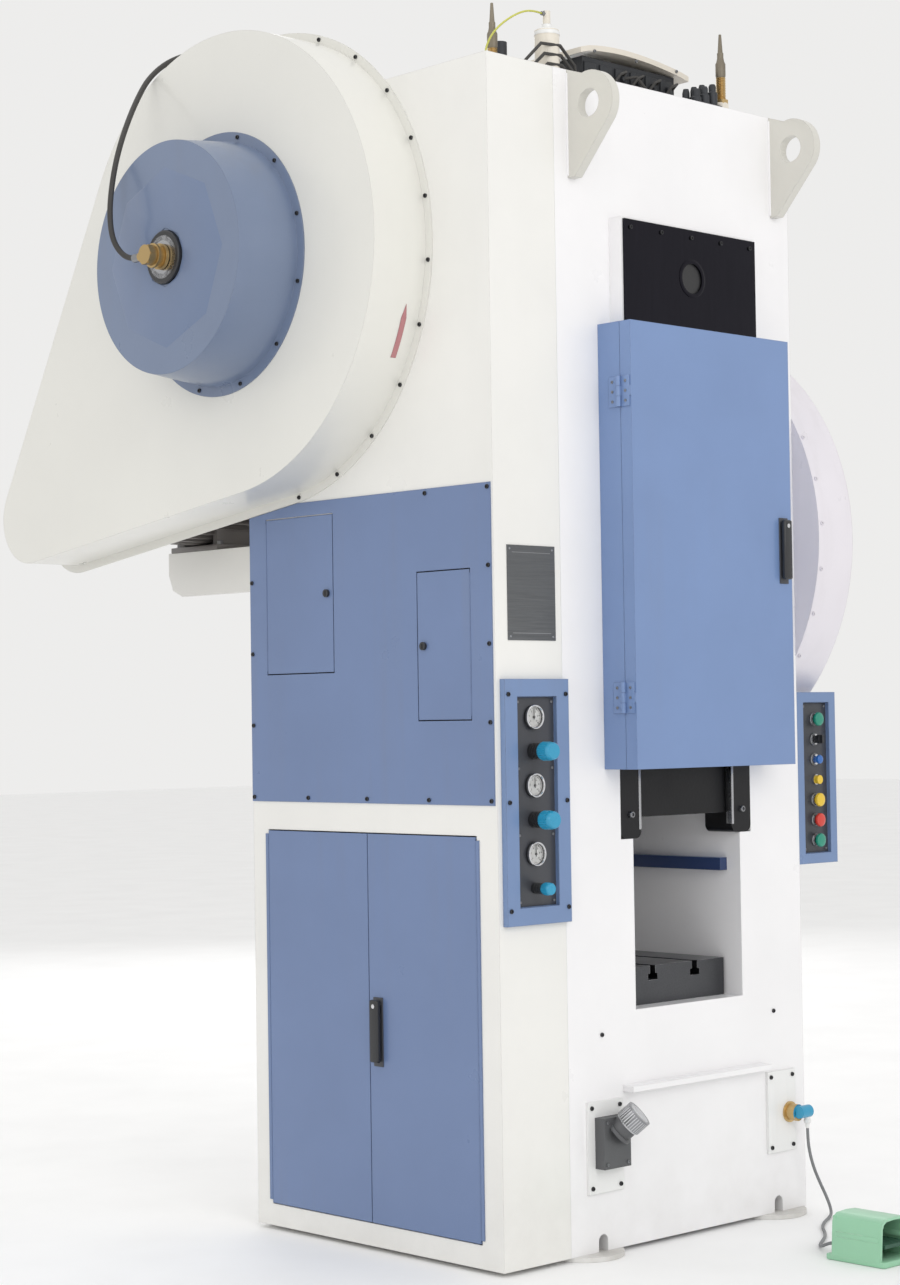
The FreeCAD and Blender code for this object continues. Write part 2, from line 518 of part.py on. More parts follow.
def belt_guard():
    """Folded teardrop guard over the flywheel, the belts and the motor pulley."""
    left = -size(HOUSING_LEFT)
    skin = size("cover_sheet")
    depth = size("guard_depth")
    centre = (size(SHAFT_Y), size(SHAFT_Z))
    tail = (size("guard_tail_reach"), size("guard_tail_height"))
    radius = size("guard_radius")
    tail_radius = size("guard_tail_radius")
    shell = teardrop(radius, tail_radius, centre, tail, left - depth, depth)
    flange = teardrop(radius + size("guard_flange"), tail_radius + size("guard_flange"), centre, tail,
                      left - skin, skin)
    hollow = teardrop(radius - skin, tail_radius - skin, centre, tail, left - depth + skin,
                      depth - 2 * skin)
    face_hole = Part.makeCylinder(size("clutch_hole"), 2 * skin,
                                  V(left - depth - skin / 2, centre[0], centre[1]), V(1, 0, 0))
    shaft_hole = Part.makeCylinder(size("hub_hole"), 2 * skin,
                                   V(left - 1.5 * skin, centre[0], centre[1]), V(1, 0, 0))
    motor_hole = Part.makeCylinder(size("hub_hole"), 2 * skin,
                                   V(left - 1.5 * skin, size("motor_offset"), size("motor_height")),
                                   V(1, 0, 0))
    shape = shell.fuse(flange).cut(hollow).cut(face_hole).cut(shaft_hole).cut(motor_hole)
    node("belt_guard", feature("belt_guard", shape.removeSplitter()))


def gear_cover():
    """Round-ended cover over the main gear and the pinion on the right side."""
    right = size(HALF_WIDTH)
    skin = size("cover_sheet")
    depth = size("gear_cover_depth")
    crank = (0, size("crank_height"))
    pinion = (size(SHAFT_Y), size(SHAFT_Z))
    big = size("gear_cover_radius")
    small = size("pinion_cover_radius")
    shell = teardrop(big, small, crank, pinion, right, depth)
    hollow = teardrop(big - skin, small - skin, crank, pinion, right + skin, depth - 2 * skin)
    crank_hole = Part.makeCylinder(size("crank_journal + bush_wall"), 2 * skin,
                                   V(right - skin / 2, crank[0], crank[1]), V(1, 0, 0))
    shaft_hole = Part.makeCylinder(size("shaft_radius + bush_wall"), 2 * skin,
                                   V(right - skin / 2, pinion[0], pinion[1]), V(1, 0, 0))
    node("gear_cover", feature("gear_cover", shell.cut(hollow).cut(crank_hole).cut(shaft_hole)))


def clutch_cap():
    """Drum cover over the clutch, with a flange that screws to the belt guard's face."""
    points = [("0", "clutch_hole - cap_overlap"), ("0", "cap_base_radius + cap_flange"),
              ("-cap_sheet", "cap_base_radius + cap_flange"), ("-cap_sheet", "cap_base_radius"),
              ("-cap_depth", "cap_front_radius"), ("-cap_depth", "cap_hole"),
              ("cap_sheet - cap_depth", "cap_hole"),
              ("cap_sheet - cap_depth", "cap_front_radius - cap_sheet"),
              ("-cap_sheet", "cap_base_radius - cap_sheet"), ("-cap_sheet", "clutch_hole - cap_overlap")]
    node("clutch_cap", turned("clutch_cap", points, f"-{HOUSING_LEFT} - guard_depth", SHAFT_Y, SHAFT_Z))


CAP_FACE = f"({HOUSING_LEFT} + guard_depth + cap_depth)"
SHAFT_END = f"({CAP_FACE} + shaft_overhang)"


def rotary_union():
    """Brass air union that runs on the shaft's nose, with its elbow for the hose."""
    bore = "nose_radius + running_gap"
    points = [("-union_seat", bore), ("-union_seat", "union_radius + union_collar"),
              ("-union_collar_end", "union_radius + union_collar"), ("-union_collar_end", "union_radius"),
              ("-union_length", "union_radius"), ("-union_length", "0"),
              ("-nose_length - nose_gap", "0"), ("-nose_length - nose_gap", bore)]
    body = turned("union_body", points, f"-{SHAFT_END}", SHAFT_Y, SHAFT_Z)
    elbow = rod("union_elbow", "y", f"-{SHAFT_END} - union_length + elbow_inset", SHAFT_Y, SHAFT_Z,
                "elbow_radius", "union_radius + elbow_reach")
    node("rotary_union", fuse("rotary_union", [body, elbow]))


def v_groove_points(rim, faces_from, count, half_open):
    """Outline points of a row of vee grooves, from the far side back to the near side."""
    points = []
    for index in range(count):
        mid = f"({faces_from} - groove_pitch * {index + 0.5})"
        points += [(f"{mid} + groove_top / 2", rim), (f"{mid} + {half_open}", f"{rim} - groove_depth"),
                   (f"{mid} - {half_open}", f"{rim} - groove_depth"), (f"{mid} - groove_top / 2", rim)]
    return points


GROOVES = 4
FLYWHEEL_RIGHT = f"({HOUSING_LEFT} + flywheel_gap)"
GROOVE_FOOT = "groove_top / 3"
GROOVE_START = "-(flywheel_face - groove_pitch * 4) / 2"


def flywheel():
    """Cast flywheel with vee grooves, running free on the shaft."""
    middle = "-flywheel_face / 2"
    rim_inside = "flywheel_radius - rim_thick"
    points = [("0", rim_inside), ("0", "flywheel_radius")]
    points += v_groove_points("flywheel_radius", GROOVE_START, GROOVES, GROOVE_FOOT)
    points += [("-flywheel_face", "flywheel_radius"), ("-flywheel_face", rim_inside),
               (f"{middle} - web_thick / 2", rim_inside), (f"{middle} - web_thick / 2", "hub_radius"),
               ("-flywheel_face", "hub_radius"), ("-flywheel_face", "shaft_radius + running_gap"),
               ("0", "shaft_radius + running_gap"), ("0", "hub_radius"),
               (f"{middle} + web_thick / 2", "hub_radius"), (f"{middle} + web_thick / 2", rim_inside)]
    node("flywheel", turned("flywheel", points, f"-{FLYWHEEL_RIGHT}", SHAFT_Y, SHAFT_Z))


def motor_pulley():
    """Grooved pulley with a long hub on the motor's shaft."""
    hub_end = f"({FLYWHEEL_RIGHT} - motor_start)"
    points = [("0", "motor_shaft * 2"), ("0", "pulley_radius")]
    points += v_groove_points("pulley_radius", GROOVE_START, GROOVES, GROOVE_FOOT)
    points += [("-flywheel_face", "pulley_radius"), ("-flywheel_face", "0"),
               (f"{hub_end} - hub_clearance", "0"), (f"{hub_end} - hub_clearance", "motor_shaft * 2")]
    node("motor_pulley", turned("motor_pulley", points, f"-{FLYWHEEL_RIGHT}", "motor_offset",
                                "motor_height"))


def v_belts():
    """Closed vee belts, each a trapezoid swept round both pulleys."""
    wheel = (size(SHAFT_Y), size(SHAFT_Z))
    pulley = (size("motor_offset"), size("motor_height"))
    gap = size("belt_gap")
    seat = size("groove_depth") - gap
    top_half = size("groove_top") / 2 - gap
    slope = (size("groove_top") / 2 - size(GROOVE_FOOT)) / size("groove_depth")
    tall = size("belt_height")
    big = size("flywheel_radius") - seat
    small = size("pulley_radius") - seat
    across = pulley[0] - wheel[0]
    up = pulley[1] - wheel[1]
    apart = math.hypot(across, up)
    heading = math.atan2(up, across)
    spread = math.acos((big - small) / apart)
    loops = []
    first = -size(FLYWHEEL_RIGHT) + size(GROOVE_START)
    for index in range(GROOVES):
        x = first - size("groove_pitch") * (index + 0.5)

        def on(centre, radius, angle, x=x):
            return V(x, centre[0] + radius * math.cos(angle), centre[1] + radius * math.sin(angle))
        upper = heading + spread
        lower = heading - spread
        edges = [
            Part.Arc(on(wheel, big, upper), on(wheel, big, heading + math.pi),
                     on(wheel, big, lower)).toShape(),
            Part.LineSegment(on(wheel, big, lower), on(pulley, small, lower)).toShape(),
            Part.Arc(on(pulley, small, lower), on(pulley, small, heading),
                     on(pulley, small, upper)).toShape(),
            Part.LineSegment(on(pulley, small, upper), on(wheel, big, upper)).toShape()]
        path = Part.Wire(edges)
        out = V(0, math.cos(upper), math.sin(upper))
        start = on(wheel, big, upper)
        low_half = size(GROOVE_FOOT) - gap
        high_half = min(low_half + slope * tall, top_half)
        side = V(1, 0, 0)
        corners = [start - side * low_half, start + side * low_half,
                   start + side * high_half + out * tall, start - side * high_half + out * tall]
        section = Part.makePolygon(corners + [corners[0]])
        loops.append(path.makePipeShell([section], True, True))
    node("v_belts", feature("v_belts", Part.makeCompound(loops)))


def gear_face(teeth, module, backlash, phase, x):
    """Involute gear outline in the YZ plane, its first tooth centred at the phase angle."""
    pitch_radius = module * teeth / 2
    base = pitch_radius * math.cos(math.radians(20))
    tip = pitch_radius + module * 0.95
    root = pitch_radius - module * 1.25
    half_pitch = math.pi / (2 * teeth) - backlash / (2 * pitch_radius)
    involute = math.tan(math.radians(20)) - math.radians(20)
    steps = 4
    low = max(base, root)
    radii = [low + (tip - low) * step / steps for step in range(steps + 1)]

    def half_angle(radius):
        pressure = math.acos(min(1.0, base / radius))
        return half_pitch + involute - (math.tan(pressure) - pressure)
    flank = [(root, half_angle(low))] + [(radius, half_angle(radius)) for radius in radii]
    points = []
    for tooth in range(teeth):
        centre = phase + 2 * math.pi * tooth / teeth
        for radius, half in flank:
            points.append(V(x, radius * math.cos(centre - half), radius * math.sin(centre - half)))
        for radius, half in reversed(flank):
            points.append(V(x, radius * math.cos(centre + half), radius * math.sin(centre + half)))
    return Part.Face(Part.makePolygon(points + [points[0]]))


def gear_train():
    """Main gear on the crankshaft and the shaft with its pinion, in mesh."""
    module = size("gear_module")
    width = size("gear_face")
    start = size("gear_start")
    gear_teeth = int(round(size("gear_teeth")))
    pinion_teeth = int(round(size("pinion_teeth")))
    line = math.atan2(size(SHAFT_Z) - size("crank_height"), size(SHAFT_Y))
    backlash = size("tooth_backlash") / 2
    pitch = module * gear_teeth / 2
    gear = gear_face(gear_teeth, module, backlash, line, start).extrude(V(width, 0, 0))
    bore = Part.makeCylinder(size("crank_journal + running_gap"), width, V(start, 0, 0), V(1, 0, 0))
    gear = gear.cut(bore)
    recess = width * 0.3
    for side in (start, start + width - recess):
        dish = Part.makeCylinder(pitch - 4 * module, recess, V(side, 0, 0), V(1, 0, 0))
        core = Part.makeCylinder(size("crank_journal * gear_hub_factor"), recess, V(side, 0, 0), V(1, 0, 0))
        gear = gear.cut(dish.cut(core))
    for index in range(6):
        angle = math.radians(60 * index + 30)
        reach = pitch * 0.55
        hole = Part.makeCylinder(pitch * 0.16, width, V(start, reach * math.cos(angle),
                                                        reach * math.sin(angle)), V(1, 0, 0))
        gear = gear.cut(hole)
    main_gear = feature("main_gear", gear)
    main_gear.Placement = FreeCAD.Placement(V(0, 0, size("crank_height")), FreeCAD.Rotation())
    node("main_gear", main_gear)

    phase = line + math.pi + math.pi / pinion_teeth
    pinion = gear_face(pinion_teeth, module, backlash, phase, start).extrude(V(width, 0, 0))
    left = -size(SHAFT_END)
    nose_length = size("nose_length")
    shaft_length = start + width + size("shaft_end_length") - left
    shaft = Part.makeCylinder(size("shaft_radius"), shaft_length, V(left, 0, 0), V(1, 0, 0))
    tip = Part.makeCylinder(size("nose_radius"), nose_length, V(left - nose_length, 0, 0), V(1, 0, 0))
    pinion_shaft = feature("pinion_shaft", shaft.fuse([pinion, tip]).removeSplitter())
    pinion_shaft.Placement = FreeCAD.Placement(V(0, size(SHAFT_Y), size(SHAFT_Z)), FreeCAD.Rotation())
    node("pinion_shaft", pinion_shaft)


def clutch_unit():
    """Pneumatic clutch and brake pack keyed to the shaft inside the cap."""
    right = "-(flywheel_gap + flywheel_face + clutch_gap)"
    left = "-(guard_depth + cap_depth - clutch_end_gap)"
    bore = "shaft_radius + running_gap"
    plate_start, plate_end, drum_start, drum_end = (
        f"-(guard_depth + {edge})"
        for edge in ("clutch_plate_start", "clutch_plate_end", "clutch_drum_start", "clutch_drum_end"))
    points = [(right, bore), (right, "clutch_radius - clutch_step"),
              (plate_start, "clutch_radius - clutch_step"), (plate_start, "clutch_radius"),
              (plate_end, "clutch_radius"), (plate_end, "clutch_radius - clutch_waist"),
              (drum_start, "clutch_radius - clutch_waist"), (drum_start, "clutch_radius"),
              (drum_end, "clutch_radius"), (drum_end, "clutch_hub_radius"),
              (left, "clutch_hub_radius"), (left, bore)]
    node("clutch_unit", turned("clutch_unit", points, f"-{HOUSING_LEFT}", SHAFT_Y, SHAFT_Z))


def bearings():
    """Bronze bushes for the crankshaft and the pinion shaft in the two inner walls."""
    bushes = []
    spots = {"crank": ("0", "crank_height", "crank_journal"), "shaft": (SHAFT_Y, SHAFT_Z, "shaft_radius")}
    for name, (y, z, radius) in spots.items():
        for side, x in (("left", f"-{HALF_DIE} - guide_wall"), ("right", HALF_DIE)):
            bushes.append(ring(f"bush_{name}_{side}", "x", x, y, z, f"{radius} + bush_wall",
                               f"{radius} + running_gap", "guide_wall"))
    node("bearings", group("bearings", bushes))


def crankshaft():
    end = "gear_start + gear_face + gear_end_length"
    pieces = [rod("journal_left", "x", f"-{HALF_DIE} - guide_wall", 0, "crank_height", "crank_journal",
                  f"{HALF_DIE} + guide_wall - crank_web_inner"),
              rod("journal_right", "x", "crank_web_inner", 0, "crank_height", "crank_journal",
                  f"{end} - crank_web_inner"),
              rod("crank_pin_rod", "x", "-crank_web_inner", 0, "crank_height + crank_throw", "crank_pin",
                  "2 * crank_web_inner")]
    for name, x in (("left", "-crank_web_outer"), ("right", "crank_web_inner")):
        pieces.append(rod(f"crank_web_{name}", "x", x, 0, "crank_height", "crank_web",
                          "crank_web_outer - crank_web_inner"))
    node("crankshaft", fuse("crankshaft", pieces))


PIN_Z = "(crank_height + crank_throw)"
WRIST_Z = "(crank_height + crank_throw - rod_length)"


def connecting_rod():
    pieces = [rod("rod_big", "x", "-rod_width / 2", 0, PIN_Z, "rod_big_end", "rod_width"),
              rod("rod_small", "x", "-rod_width / 2", 0, WRIST_Z, "rod_small_end", "rod_width"),
              box("rod_beam", "-rod_width * 0.35", "-rod_shank / 2", WRIST_Z, "rod_width * 0.7",
                  "rod_shank", "rod_length"),
              rod("wrist_pin_rod", "x", "-wrist_length / 2", 0, WRIST_Z, "wrist_pin", "wrist_length")]
    bore = rod("rod_bore", "x", "-rod_width / 2", 0, PIN_Z, "crank_pin + running_gap", "rod_width")
    node("connecting_rod", cut("connecting_rod", fuse("rod_body", pieces), [bore]))


def slide():
    """The ram: a box casting whose tongues run between the gibs."""
    tongue_half = f"({HALF_DIE} + gib_cover - gib_face - guide_gap)"
    core_half = f"({HALF_DIE} - slide_side_gap)"
    tongue = box("slide_tongue", f"-{tongue_half}", f"slide_front_gap - {HALF_DEPTH}", "slide_bottom",
                 f"2 * {tongue_half}", "frame_depth - 2 * slide_front_gap", "slide_tall")
    core = box("slide_core", f"-{core_half}", f"gib_depth + guide_gap - {HALF_DEPTH}", "slide_bottom",
               f"2 * {core_half}", "frame_depth - 2 * gib_depth - 2 * guide_gap", "slide_tall")
    pocket = box("slide_pocket", "-slide_pocket_width / 2", "-slide_pocket_depth / 2",
                 "slide_bottom + slide_pocket_floor", "slide_pocket_width", "slide_pocket_depth",
                 "slide_tall - slide_pocket_floor")
    pockets = [pocket]
    for name, y in (("front", f"slide_core_inset - {HALF_DEPTH}"),
                    ("rear", f"{HALF_DEPTH} - slide_core_inset - slide_core_depth")):
        pockets.append(box(f"slide_core_{name}", "-slide_pocket_width / 2", y,
                           "slide_bottom + slide_core_floor", "slide_pocket_width", "slide_core_depth",
                           "slide_tall - slide_core_floor"))
    node("slide", cut("slide", fuse("slide_body", [tongue, core]), pockets))


def gibs():
    """Four guide bars seated in the uprights' corner recesses."""
    bars = []
    for side in (-1, 1):
        outer = f"{HALF_DIE} + gib_cover"
        left = f"-({outer})" if side < 0 else f"{outer} - gib_face"
        for end, y in (("front", f"-{HALF_DEPTH}"), ("rear", f"{HALF_DEPTH} - gib_depth")):
            name = f"gib_{len(bars)}"
            pieces = [box(f"{name}_bar", left, y, "gib_bottom + gib_round", "gib_face", "gib_depth",
                          "gib_top - gib_bottom - gib_round"),
                      box(f"{name}_foot", f"{left} + gib_round", y, "gib_bottom", "gib_face - 2 * gib_round",
                          "gib_depth", "gib_round")]
            for corner, x in (("left", f"{left} + gib_round"), ("right", f"{left} + gib_face - gib_round")):
                pieces.append(rod(f"{name}_{corner}", "y", x, y, "gib_bottom + gib_round", "gib_round",
                                  "gib_depth"))
            bars.append(fuse(name, pieces))
    node("gibs", group("gibs", bars))


def bolster():
    """Bed plate with two T-slots running from front to back."""
    half = f"({HALF_DIE} - bolster_gap)"
    top = "bolster_thick"
    points = [(f"-{half}", "0"), (half, "0"), (half, top)]
    for centre in ("slot_pitch / 2", "-slot_pitch / 2"):
        mouth = "slot_mouth / 2"
        foot = "slot_foot_width / 2"
        neck_low = f"{top} - slot_neck"
        foot_low = f"{top} - slot_neck - slot_foot"
        points += [(f"{centre} + {mouth}", top), (f"{centre} + {mouth}", neck_low),
                   (f"{centre} + {foot}", neck_low), (f"{centre} + {foot}", foot_low),
                   (f"{centre} - {foot}", foot_low), (f"{centre} - {foot}", neck_low),
                   (f"{centre} - {mouth}", neck_low), (f"{centre} - {mouth}", top)]
    points.append((f"-{half}", top))
    node("bolster", padded("bolster", "XZ_Plane", points, "bolster_depth", 0,
                           "bolster_depth / 2 - bolster_shift", "bed_height"))


def side_rails():
    """Two rails along the die space's side walls."""
    rails = []
    for name, x in (("left", f"-{HALF_DIE}"), ("right", f"{HALF_DIE} - rail_thick")):
        rails.append(box(f"rail_{name}", x, "-rail_length / 2", "rail_height", "rail_thick",
                         "rail_length", "rail_tall"))
    node("side_rails", group("side_rails", rails))


def motor():
    """Foot-mounted electric motor on the bracket behind the frame."""
    body = rod("motor_body", "x", "-motor_start", "motor_offset", "motor_height", "motor_radius",
               "motor_length")
    feet = box("motor_feet", "motor_foot_inset - bracket_left", "motor_offset - motor_foot_half",
               "bracket_high", "motor_foot_length", "2 * motor_foot_half",
               "motor_height - bracket_high - motor_radius * 0.5")
    terminal = box("motor_terminal", "terminal_start - motor_start", "motor_offset - terminal_half",
                   "motor_height + motor_radius * 0.8", "terminal_length", "2 * terminal_half",
                   "terminal_tall")
    shaft = rod("motor_spigot", "x", "-motor_start - hub_clearance + belt_gap", "motor_offset",
                "motor_height", "motor_shaft * 1.5", "hub_clearance - belt_gap")
    node("motor", fuse("motor", [body, feet, terminal, shaft]))


def motor_bracket():
    """Welded bracket: a top plate on two gussets with rounded lower corners."""
    reach = "(bracket_reach - frame_depth / 2)"
    top = box("bracket_top", "-bracket_left", HALF_DEPTH, "bracket_high - bracket_plate",
              "bracket_left + bracket_right", reach, "bracket_plate")
    far = box("bracket_end", "-bracket_left", "bracket_reach - bracket_plate",
              "bracket_low + bracket_round", "bracket_left + bracket_right", "bracket_plate",
              "bracket_high - bracket_low - bracket_round")
    tall = "bracket_high - bracket_low"
    gussets = []
    for name, x in (("left", "-bracket_left"), ("right", "bracket_right - bracket_plate")):
        points = [("0", "0"), (f"{reach} - bracket_round", "0"), (f"{reach} - bracket_round * 0.3",
                  "bracket_round * 0.3"), (reach, "bracket_round"), (reach, tall), ("0", tall)]
        gussets.append(padded(f"gusset_{name}", "YZ_Plane", points, "bracket_plate", x, HALF_DEPTH,
                              "bracket_low"))
    node("motor_bracket", fuse("motor_bracket", [top, far] + gussets))


def front_door():
    """Fixed surround and the door leaf over the slide, with hinges and a swing handle."""
    half = "guard_door_width / 2"
    tall = "guard_door_high - guard_door_low"
    outer = box("surround_block", f"-{half}", f"-{HALF_DEPTH} - surround_depth", "guard_door_low",
                "guard_door_width", "surround_depth", tall)
    inner = box("surround_hollow", f"surround_rim - {half}", f"-{HALF_DEPTH} - surround_depth",
                "guard_door_low + door_sheet", "guard_door_width - 2 * surround_rim", "surround_depth",
                f"{tall} - 2 * door_sheet")
    hinge_x = f"(-{half} - hinge_knuckle - hinge_clearance)"
    hinge_y = f"(-{HALF_DEPTH} - surround_depth)"
    fixed = [cut("surround_ring", outer, [inner])]
    leaf_y = f"(-{HALF_DEPTH} - {DOOR_FRONT})"
    moving_depth = "leaf_front_depth - door_joint_gap"
    leaf = box("leaf_block", f"-{half}", leaf_y, "guard_door_low", "guard_door_width", moving_depth, tall)
    fold = box("leaf_hollow", f"door_sheet - {half}", f"{leaf_y} + door_sheet",
               "guard_door_low + door_sheet", "guard_door_width - 2 * door_sheet",
               f"{moving_depth} - door_sheet", f"{tall} - 2 * door_sheet")
    moving = [cut("leaf_pan", leaf, [fold])]
    for name, z in (("high", "front_hinge_high"), ("low", "front_hinge_low")):
        low = f"({z} - front_hinge_tall / 2)"
        third = "front_hinge_tall / 3"
        for order in (0, 2):
            start = f"{low} + {third} * {order}"
            fixed.append(rod(f"knuckle_{name}_{order}", "z", hinge_x, hinge_y, start, "hinge_knuckle", third))
            fixed.append(box(f"fixed_tab_{name}_{order}", f"-{half} - door_sheet", hinge_y, start,
                             "door_sheet", "hinge_knuckle + tab_overlap", third))
        fixed.append(rod(f"pin_{name}", "z", hinge_x, hinge_y, low, "hinge_pin", "front_hinge_tall"))
        fixed.append(box(f"fixed_leaf_{name}", f"-{half} - door_sheet",
                         f"{hinge_y} + hinge_knuckle + tab_overlap", low, "door_sheet",
                         "front_hinge_leaf - hinge_knuckle - tab_overlap", "front_hinge_tall"))
        middle = ring(f"knuckle_{name}_1", "z", hinge_x, hinge_y, f"{low} + {third} + knuckle_gap",
                      "hinge_knuckle - knuckle_relief", "hinge_pin + running_gap",
                      f"{third} - 2 * knuckle_gap")
        flap = box(f"moving_leaf_{name}", f"-{half} - door_sheet", f"{hinge_y} - front_hinge_leaf",
                   f"{low} + {third} + knuckle_gap", "door_sheet", "front_hinge_leaf - leaf_trim",
                   f"{third} - 2 * knuckle_gap")
        strap = box(f"moving_strap_{name}", hinge_x, f"{hinge_y} - hinge_knuckle + knuckle_relief",
                    f"{low} + {third} + knuckle_gap", "hinge_knuckle",
                    "hinge_knuckle - hinge_pin - strap_relief", f"{third} - 2 * knuckle_gap")
        moving += [middle, flap, strap]
    node("door_surround", fuse("door_surround", fixed))
    node("guard_door", fuse("guard_door", moving))
    node("door_handle", swing_handle("door_handle", "y", "front_handle_x", leaf_y, "front_handle_low"))


def front_fittings():
    """Nameplate, crown plate, the port plates and their connectors."""
    front = f"-{HALF_DEPTH}"
    node("nameplate", box("nameplate", "-name_left", f"{front} - name_thick", "name_low", "name_width",
                          "name_thick", "name_tall"))
    plate = box("crown_plate_blank", "crown_plate_margin - crown_block_width / 2",
                f"{front} - crown_block_depth - crown_plate_thick", "crown_block_low + crown_plate_margin",
                "crown_block_width - 2 * crown_plate_margin", "crown_plate_thick",
                "crown_block_high - crown_block_low - 2 * crown_plate_margin")
    sight = rod("sight_hole", "y", 0, f"{front} - crown_block_depth - crown_plate_thick", "sight_height",
                "sight_radius", "crown_plate_thick")
    node("crown_plate", cut("crown_plate", plate, [sight]))
    plates = []
    for side in ("socket", "cable"):
        left = f"-{side}_plate_left" if side == "socket" else f"{side}_plate_left"
        plates.append(box(f"{side}_plate", left, f"{front} - port_thick", f"{side}_plate_low",
                          f"{side}_plate_width", "port_thick", f"{side}_plate_tall"))
    base = box("socket_base", "socket_base_x - socket_plate_left",
               f"{front} - port_thick - socket_base_depth", "socket_plate_low + socket_base_z",
               "socket_base_width", "socket_base_depth", "socket_base_tall")
    slant = V(0.42, -0.62, 0.66)
    slant.normalize()
    seat = V(size("socket_seat_x - socket_plate_left"), size(f"{front} - port_thick - socket_seat_depth"),
             size("socket_plate_low + socket_seat_z"))
    neck = feature("socket_neck", Part.makeCylinder(size("socket_neck_radius"), size("socket_neck_length"),
                                                    seat, slant))
    collar = feature("socket_collar", Part.makeCylinder(size("socket_collar_radius"),
                                                        size("socket_collar_length"),
                                                        seat + slant * size("socket_collar_start"), slant))
    socket = fuse("socket_body", [base, neck, collar])
    nut = rod("connector_nut", "y", "connector_x", f"{front} - port_thick - connector_length",
              "connector_z", "connector_radius", "connector_length")
    head_y = f"{front} - port_thick - connector_length - connector_head_drop"
    head = rod("connector_head", "x", "connector_x - connector_head_left", head_y,
               "connector_z + connector_head_lift", "connector_head_radius", "connector_head_length")
    gland = rod("connector_gland", "z", "connector_x + gland_x", head_y, "connector_z - gland_length",
                "gland_radius", "gland_length")
    connector = fuse("connector_body", [nut, head, gland])
    node("front_ports", group("front_ports", plates + [socket, connector]))


def air_panel():
    """Tray with three pressure gauges, their needles and the regulators with their knobs."""
    front = f"-{HALF_DEPTH}"
    face = f"({front} - air_depth)"
    floor = f"({front} - air_depth + air_recess)"
    blank = box("air_blank", "-air_left", face, "air_low", "air_width", "air_depth", "air_tall")
    recess = box("air_hollow", "air_rim - air_left", face, "air_low + air_rim", "air_width - 2 * air_rim",
                 "air_recess", "air_tall - 2 * air_rim")
    node("air_panel", cut("air_panel", blank, [recess]))
    cases = []
    collars = []
    for index in range(3):
        z = f"(gauge_high - gauge_pitch * {index})"
        case = rod(f"gauge_case_{index}", "y", "-air_centre", f"{floor} - gauge_depth", z, "gauge_radius",
                   "gauge_depth")
        dish = rod(f"gauge_dish_{index}", "y", "-air_centre", f"{floor} - gauge_depth", z,
                   "gauge_radius - gauge_wall", "gauge_depth * 0.6")
        pin = rod(f"gauge_pin_{index}", "y", "-air_centre", f"{floor} - gauge_depth * 0.75", z,
                  "needle_pivot", "gauge_depth * 0.5")
        cases.append(fuse(f"gauge_{index}", [cut(f"gauge_cup_{index}", case, [dish]), pin]))
        needle_y = f"{floor} - gauge_depth * 0.7"
        hub = rod(f"needle_hub_{index}", "y", "-air_centre", needle_y, z, "needle_hub", "needle_thick")
        hand = box(f"needle_hand_{index}", "-air_centre - hand_width / 2", needle_y,
                   f"{z} - needle_length * 0.3", "hand_width", "hand_thick", "needle_length * 1.3")
        hole = rod(f"needle_hole_{index}", "y", "-air_centre", needle_y, z, "needle_pivot + running_gap",
                   "needle_thick")
        name = f"gauge_needle_{index + 1}"
        node(name, cut(name, fuse(f"needle_{index}", [hub, hand]), [hole]))
        knob_z = f"({z} - knob_drop)"
        small = index == 2
        radius = "small_knob_radius" if small else "knob_radius"
        length = "small_knob_length" if small else "knob_length"
        collar = f"{radius} * collar_share"
        collars.append(rod(f"regulator_{index}", "y", "-air_centre", f"{floor} - collar_length", knob_z,
                           collar, "collar_length"))
        grip = rod(f"knob_grip_{index}", "y", "-air_centre", f"{floor} - collar_length - {length} - knob_gap",
                   knob_z, radius, length)
        name = f"regulator_knob_{index + 1}"
        node(name, grip)
    node("gauges_regulators", group("gauges_regulators", cases + collars))


STATION_X = f"({HALF_WIDTH} + station_width / 2)"
BUTTONS = [("start_button", "button_head"), ("selector_knob", "small_head"), ("jog_button", "small_head"),
           ("station_lamp", "small_head"), ("run_button", "button_head"), ("stop_button", "button_head"),
           ("up_button", "button_head")]


